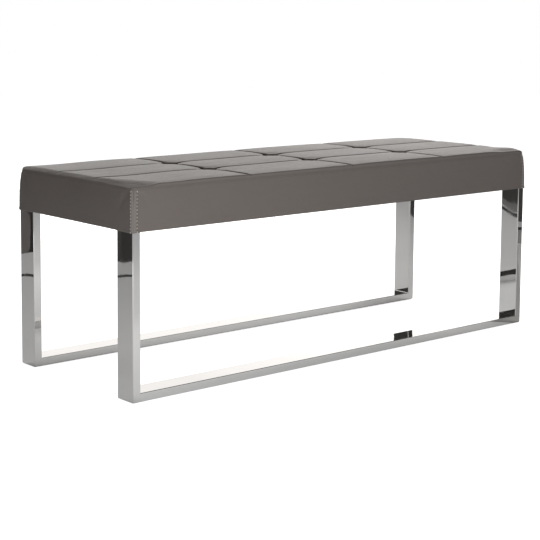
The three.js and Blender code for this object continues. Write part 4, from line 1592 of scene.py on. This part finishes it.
@dataclass
class Studio:
    """Camera of the photograph, plain soft lamps, a pale floor and dark flags that only the gloss shows."""

    camera_place: tuple[float, float, float] = (-2.1960, -2.4869, 0.7861)
    yaw: float = 40.644
    pitch: float = -6.226
    roll: float = 0.434
    focal: float = 93.04
    shift: float = -0.19
    ambient: float = 0.27
    floor_size: float = 9.0
    front_glow: float = 0.16
    rail_glow: float = 0.21
    rear_glow: float = 1.25
    warmth: Colour = (1.0, 0.978, 0.958)
    # The strip is a dark line on the floor that only glossy rays see: a painted reflection in the polished tube.
    strip: tuple[tuple[float, float], ...] = ((-1.75, 0.68), (-1.38, 0.93), (-1.16, 1.12), (-1.08, 1.17))
    strip_width: float = 0.042
    screens: dict[str, tuple[tuple[tuple[float, float], ...], float, float]] = field(default_factory=lambda: {
        "left_flag": (((-0.9, 2.2), (-1.375, 1.56), (-1.53, 1.15), (-2.8, 0.7)), 0.0, 1.6),
        "right_flag": (((1.5, -0.6), (1.78, -0.96), (2.2, -1.5), (3.2, -2.8)), 0.0, 0.8),
    })

    # Cards that only glossy rays see: painted reflections that give the polished tube its dark, grey and brown bands.
    cards: dict[str, tuple[tuple[tuple[float, float, float, float], ...], float, Colour]] = field(
        default_factory=lambda: {
            "black_card": (((-0.737, 0.783, 0.050, 1.2), (-0.635, 0.905, 0.128, 1.2)), 1.0, (0.05, 0.048, 0.046)),
            "mid_card": (((-0.737, 0.783, 0.026, 0.050), (-0.635, 0.905, 0.106, 0.128)), 1.0, (0.20, 0.198, 0.194)),
            "line_card": (((-0.737, 0.783, 0.009, 0.022), (-0.635, 0.905, 0.088, 0.101)), 1.0, (0.03, 0.03, 0.03)),
            "band_card": (((0.862, -0.530, 0.146, 0.184), (0.926, -0.453, 0.146, 0.184)), 1.0, (0.30, 0.297, 0.29)),
            "thin_card": (((0.862, -0.530, 0.184, 0.192), (0.926, -0.453, 0.184, 0.192)), 1.0, (0.03, 0.03, 0.03)),
            "top_card": (((0.862, -0.530, 0.206, 0.5), (0.926, -0.453, 0.206, 0.5)), 1.0, (0.06, 0.058, 0.056)),
            "brown_card": (((-1.172, 1.123, 0.07, 1.2), (-1.113, 1.158, 0.07, 1.2)), 1.0, (0.175, 0.160, 0.155)),
            "edge_card": (((-1.217, 1.096, 0.07, 1.2), (-1.172, 1.123, 0.07, 1.2)), 1.0, (0.03, 0.03, 0.03)),
        })

    # Grey sheets on the floor that only glossy rays see: painted reflections in the polished tube.
    floor_reflection_cards: dict[str, tuple[tuple[tuple[float, float], ...], Colour]] = field(default_factory=lambda: {
        "right_mat": (((0.600, -0.204), (0.549, -0.266), (1.548, -1.098), (1.599, -1.036)), (0.50, 0.50, 0.49)),
    })

    def camera(self) -> None:
        """Place the camera."""
        yaw, pitch, roll = (math.radians(angle) for angle in (self.yaw, self.pitch, self.roll))
        ahead = Vector((math.sin(yaw) * math.cos(pitch), math.cos(yaw) * math.cos(pitch), math.sin(pitch)))
        level = Vector((math.cos(yaw), -math.sin(yaw), 0.0))
        over = level.cross(ahead)
        right = math.cos(roll) * level + math.sin(roll) * over
        up = math.cos(roll) * over - math.sin(roll) * level
        lens = bpy.data.cameras.new("camera")
        lens.lens, lens.sensor_width, lens.shift_y = self.focal, 36.0, self.shift
        eye = bpy.data.objects.new("camera", lens)
        turn = Matrix((right, up, -ahead)).transposed().to_4x4()
        eye.matrix_world = Matrix.Translation(self.camera_place) @ turn
        bpy.context.scene.collection.objects.link(eye)
        bpy.context.scene.camera = eye

    def lamp(self, name: str, place: tuple[float, float, float], aim: tuple[float, float, float],
             size: tuple[float, float], power: float, tone: Colour) -> None:
        """Add one soft area lamp.

        Args:
            name: Its name.
            place: Where it hangs.
            aim: The point that it faces.
            size: Its width and height.
            power: Its power in watts.
            tone: Its colour.
        """
        light = bpy.data.lights.new(name, "AREA")
        light.shape, light.size, light.size_y, light.energy = "RECTANGLE", *size, power
        light.color = tone
        lamp = bpy.data.objects.new(name, light)
        lamp.location = place
        lamp.rotation_euler = (Vector(aim) - Vector(place)).to_track_quat("-Z", "Y").to_euler()
        lamp.visible_camera = lamp.visible_glossy = False
        bpy.context.scene.collection.objects.link(lamp)

    def lamps(self) -> None:
        """Hang the lamps."""
        self.lamp("overhead", (1.35, 1.35, 1.35), (0.0, 0.0, 0.4), (2.2, 1.6), 30.0, self.warmth)
        self.lamp("front", (-1.15, -1.75, 0.6), (-0.3, 0.0, 0.35), (1.1, 0.9), 21.5, (1.0, 1.0, 1.0))
        self.lamp("behind", (1.6, 3.4, 0.9), (0.2, 0.0, 0.3), (3.6, 1.4), 40.0, self.warmth)

    def world(self) -> None:
        """White for what the camera and gloss see, dimmer as a light."""
        world = bpy.data.worlds.new("studio")
        world.use_nodes = True
        bpy.context.scene.world = world
        nodes = Nodes(world.node_tree)
        seen = self.seen(nodes)
        strength = nodes.remap(seen, 0.0, 1.0, self.ambient, 1.0, "LINEAR")
        gloss = nodes.add("ShaderNodeLightPath").outputs["Is Glossy Ray"]
        tone = nodes.mix(gloss, (1.0, 1.0, 1.0), self.warmth)
        back = nodes.add("ShaderNodeBackground", {"Color": tone, "Strength": strength})
        nodes.add("ShaderNodeOutputWorld", {"Surface": back.outputs[0]})

    @staticmethod
    def seen(nodes: Nodes) -> bpy.types.NodeSocket:
        """Return 1 for camera, glossy and transmission rays."""
        path = nodes.add("ShaderNodeLightPath").outputs
        both = nodes.math("ADD", path["Is Camera Ray"], path["Is Glossy Ray"])
        return nodes.math("ADD", both, path["Is Transmission Ray"], clamp=True)

    def floor(self) -> None:
        """Lay the pale floor, which looks white and keeps the bench's shadow."""
        material = bpy.data.materials.new("pale_floor")
        material.use_nodes = True
        nodes = Nodes(material.node_tree)
        mottle = nodes.noise(nodes.place(), 3.0, 3, 0.5)
        paper = nodes.add("ShaderNodeBsdfPrincipled",
                          {"Base Color": nodes.mix(mottle, (0.80, 0.80, 0.80), (0.84, 0.84, 0.84)), "Roughness": 0.9})
        path = nodes.add("ShaderNodeLightPath").outputs
        camera = nodes.math("MULTIPLY", path["Is Camera Ray"], 0.86)
        # Painted pools of light on the floor that only reflections show: brighter towards the front and close round the
        # bench.
        across = nodes.vector("DOT_PRODUCT", nodes.place(), (-0.5, -0.86, 0.0))
        graded = nodes.remap(across, -0.1, 0.9, 0.0, self.front_glow)
        shifted = nodes.vector("ADD", nodes.place(), (0.0, 0.3, 0.0))
        reach = nodes.add("ShaderNodeVectorMath", {0: nodes.stretched(shifted, (1.6, 2.2, 0.0))}, operation="LENGTH")
        near = nodes.remap(reach.outputs["Value"], 0.9, 1.5, self.rail_glow, 0.0)
        beside = nodes.math("ABSOLUTE", nodes.vector("DOT_PRODUCT", nodes.place(), (1.0, 0.0, 0.0)))
        near = nodes.math("MULTIPLY", near, nodes.remap(beside, 0.56, 0.62, 1.0, 0.0))
        gloss = nodes.math("MULTIPLY", path["Is Glossy Ray"], nodes.math("ADD", graded, near))
        glow = nodes.add("ShaderNodeEmission", {"Color": (1.0, 1.0, 1.0), "Strength": nodes.math("ADD", camera, gloss)})
        both = nodes.add("ShaderNodeAddShader", {0: paper.outputs[0], 1: glow.outputs[0]})
        nodes.add("ShaderNodeOutputMaterial", {"Surface": both.outputs[0]})
        self.board("floor", [(-1, -1, 0), (1, -1, 0), (1, 1, 0), (-1, 1, 0)], self.floor_size, material)

    def board(self, name: str, corners: Sequence[tuple[float, float, float]], scale: float,
              material: bpy.types.Material) -> bpy.types.Object:
        """Add a flat board of the studio.

        Args:
            name: Its name.
            corners: Its corners, before scaling.
            scale: What the corners are multiplied by.
            material: Its material.

        Returns:
            The board.
        """
        mesh = bpy.data.meshes.new(name)
        mesh.from_pydata([tuple(scale * part for part in corner) for corner in corners], [], [(0, 1, 2, 3)])
        mesh.materials.append(material)
        made = bpy.data.objects.new(name, mesh)
        bpy.context.scene.collection.objects.link(made)
        return made

    def flags(self) -> None:
        """Stand dark flags, cards, floor strips and a glowing card where only reflections show them, as painted
        reflections.
        """
        material = self.card_material("dark_flag", (0.062, 0.059, 0.057))
        for name, (edges, scale, colour) in self.cards.items():
            (x0, y0, low0, high0), (x1, y1, low1, high1) = edges
            corners = [(x0, y0, low0), (x1, y1, low1), (x1, y1, high1), (x0, y0, high0)]
            self.hide_from_all_but_gloss(self.board(name, corners, scale, self.card_material(name, colour)))
        for name, (foot, colour) in self.floor_reflection_cards.items():
            corners = [(*corner, 0.002) for corner in foot]
            self.hide_from_all_but_gloss(self.board(name, corners, 1.0, self.card_material(name, colour)))
        for name, (foot, low, high) in self.screens.items():
            for number, (start, end) in enumerate(zip(foot[:-1], foot[1:])):
                corners = [(*start, low), (*end, low), (*end, high), (*start, high)]
                self.hide_from_all_but_gloss(self.board(f"{name}_{number}", corners, 1.0, material))
        strips = [(start, end, number) for number, (start, end) in enumerate(zip(self.strip[:-1], self.strip[1:]))]
        for start, end, number in strips:
            along = (Vector(end) - Vector(start)).normalized()
            side = Vector((-along.y, along.x)) * self.strip_width / 2
            corners = [(*(Vector(start) + side), 0.001), (*(Vector(start) - side), 0.001),
                       (*(Vector(end) - side), 0.001), (*(Vector(end) + side), 0.001)]
            self.hide_from_all_but_gloss(self.board(f"floor_strip_{number}", corners, 1.0, material))
        corners = [(-0.3, 4.5, 0.0), (4.5, 0.3, 0.0), (4.5, 0.3, 1.5), (-0.3, 4.5, 1.5)]
        self.hide_from_all_but_gloss(self.board("rear_glow", corners, 1.0, self.glow_material()))
        corners = [(-6.0, -6.0, 2.3), (6.0, -6.0, 2.3), (6.0, -3.0, 2.3), (-6.0, 5.0, 2.3)]
        self.hide_from_all_but_gloss(self.board("ceiling_flag", corners, 1.0, material))

    def glow_material(self) -> bpy.types.Material:
        """Return the glowing card behind the bench that only the gloss sees: a painted reflection of a soft light in
        the seat top and the rails.
        """
        material = bpy.data.materials.new("rear_glow")
        material.use_nodes = True
        nodes = Nodes(material.node_tree)
        place = nodes.place()
        across = nodes.remap(nodes.vector("DOT_PRODUCT", place, (1.0, 0.0, 0.0)), 1.6, 2.8, 1.0, 1.24)
        above = nodes.vector("DOT_PRODUCT", place, (0.0, 0.0, 1.0))
        dimmed = nodes.math("MULTIPLY", across, nodes.remap(above, 0.78, 0.98, self.rear_glow, 0.95 * self.rear_glow))
        tone = nodes.mix(nodes.remap(above, 0.56, 0.70, 0.0, 1.0), (1.0, 1.0, 1.0), (1.0, 0.974, 0.95))
        light = nodes.add("ShaderNodeEmission", {"Color": tone, "Strength": dimmed})
        nodes.add("ShaderNodeOutputMaterial", {"Surface": light.outputs[0]})
        return material

    @staticmethod
    def card_material(name: str, colour: Colour) -> bpy.types.Material:
        """Return the matte paper of a flag or card."""
        material = bpy.data.materials.new(name)
        material.use_nodes = True
        shader = material.node_tree.nodes["Principled BSDF"]
        shader.inputs["Base Color"].default_value = (*colour, 1.0)
        shader.inputs["Roughness"].default_value = 0.9
        return material

    @staticmethod
    def hide_from_all_but_gloss(flag: bpy.types.Object) -> None:
        """Leave a flag visible to glossy rays only."""
        for ray in ("camera", "diffuse", "transmission", "shadow", "volume_scatter"):
            setattr(flag, f"visible_{ray}", False)

    def build(self) -> None:
        """Set up the whole studio."""
        bpy.context.scene.view_settings.view_transform = "Standard"
        self.camera()
        self.lamps()
        self.world()
        self.floor()
        self.flags()


def report(piece: bpy.types.Object) -> None:
    """Log a piece's name, faces and size in millimetres."""
    size = [round(length / METRES, 1) for length in piece.dimensions]
    log.info("%s: %d faces, %s mm", piece.name, len(piece.data.polygons), size)


def main() -> None:
    """Build the bench and its studio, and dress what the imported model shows."""
    logging.basicConfig(level=logging.INFO, format="%(name)s: %(message)s", stream=sys.stdout)
    Studio().build()
    cushion = Cushion()
    seat = cushion.build()
    cushion.dress(seat)
    report(seat)
    rows = Topstitching(cushion)
    stitches = rows.build()
    rows.dress(stitches)
    report(stitches)
    for side in Side:
        maker = LegLoop(side)
        loop = maker.build()
        maker.dress(loop)
        report(loop)
    for maker in (SeatBoard(), SeatBolts()):
        piece = maker.build()
        maker.dress(piece)
        report(piece)
    cover = DustCover()
    cloth, staples = cover.build(), cover.staples()
    cover.dress(cloth, staples)
    report(cloth)
    report(staples)
    dress_packed_nodes()


if __name__ == "__main__":
    main()
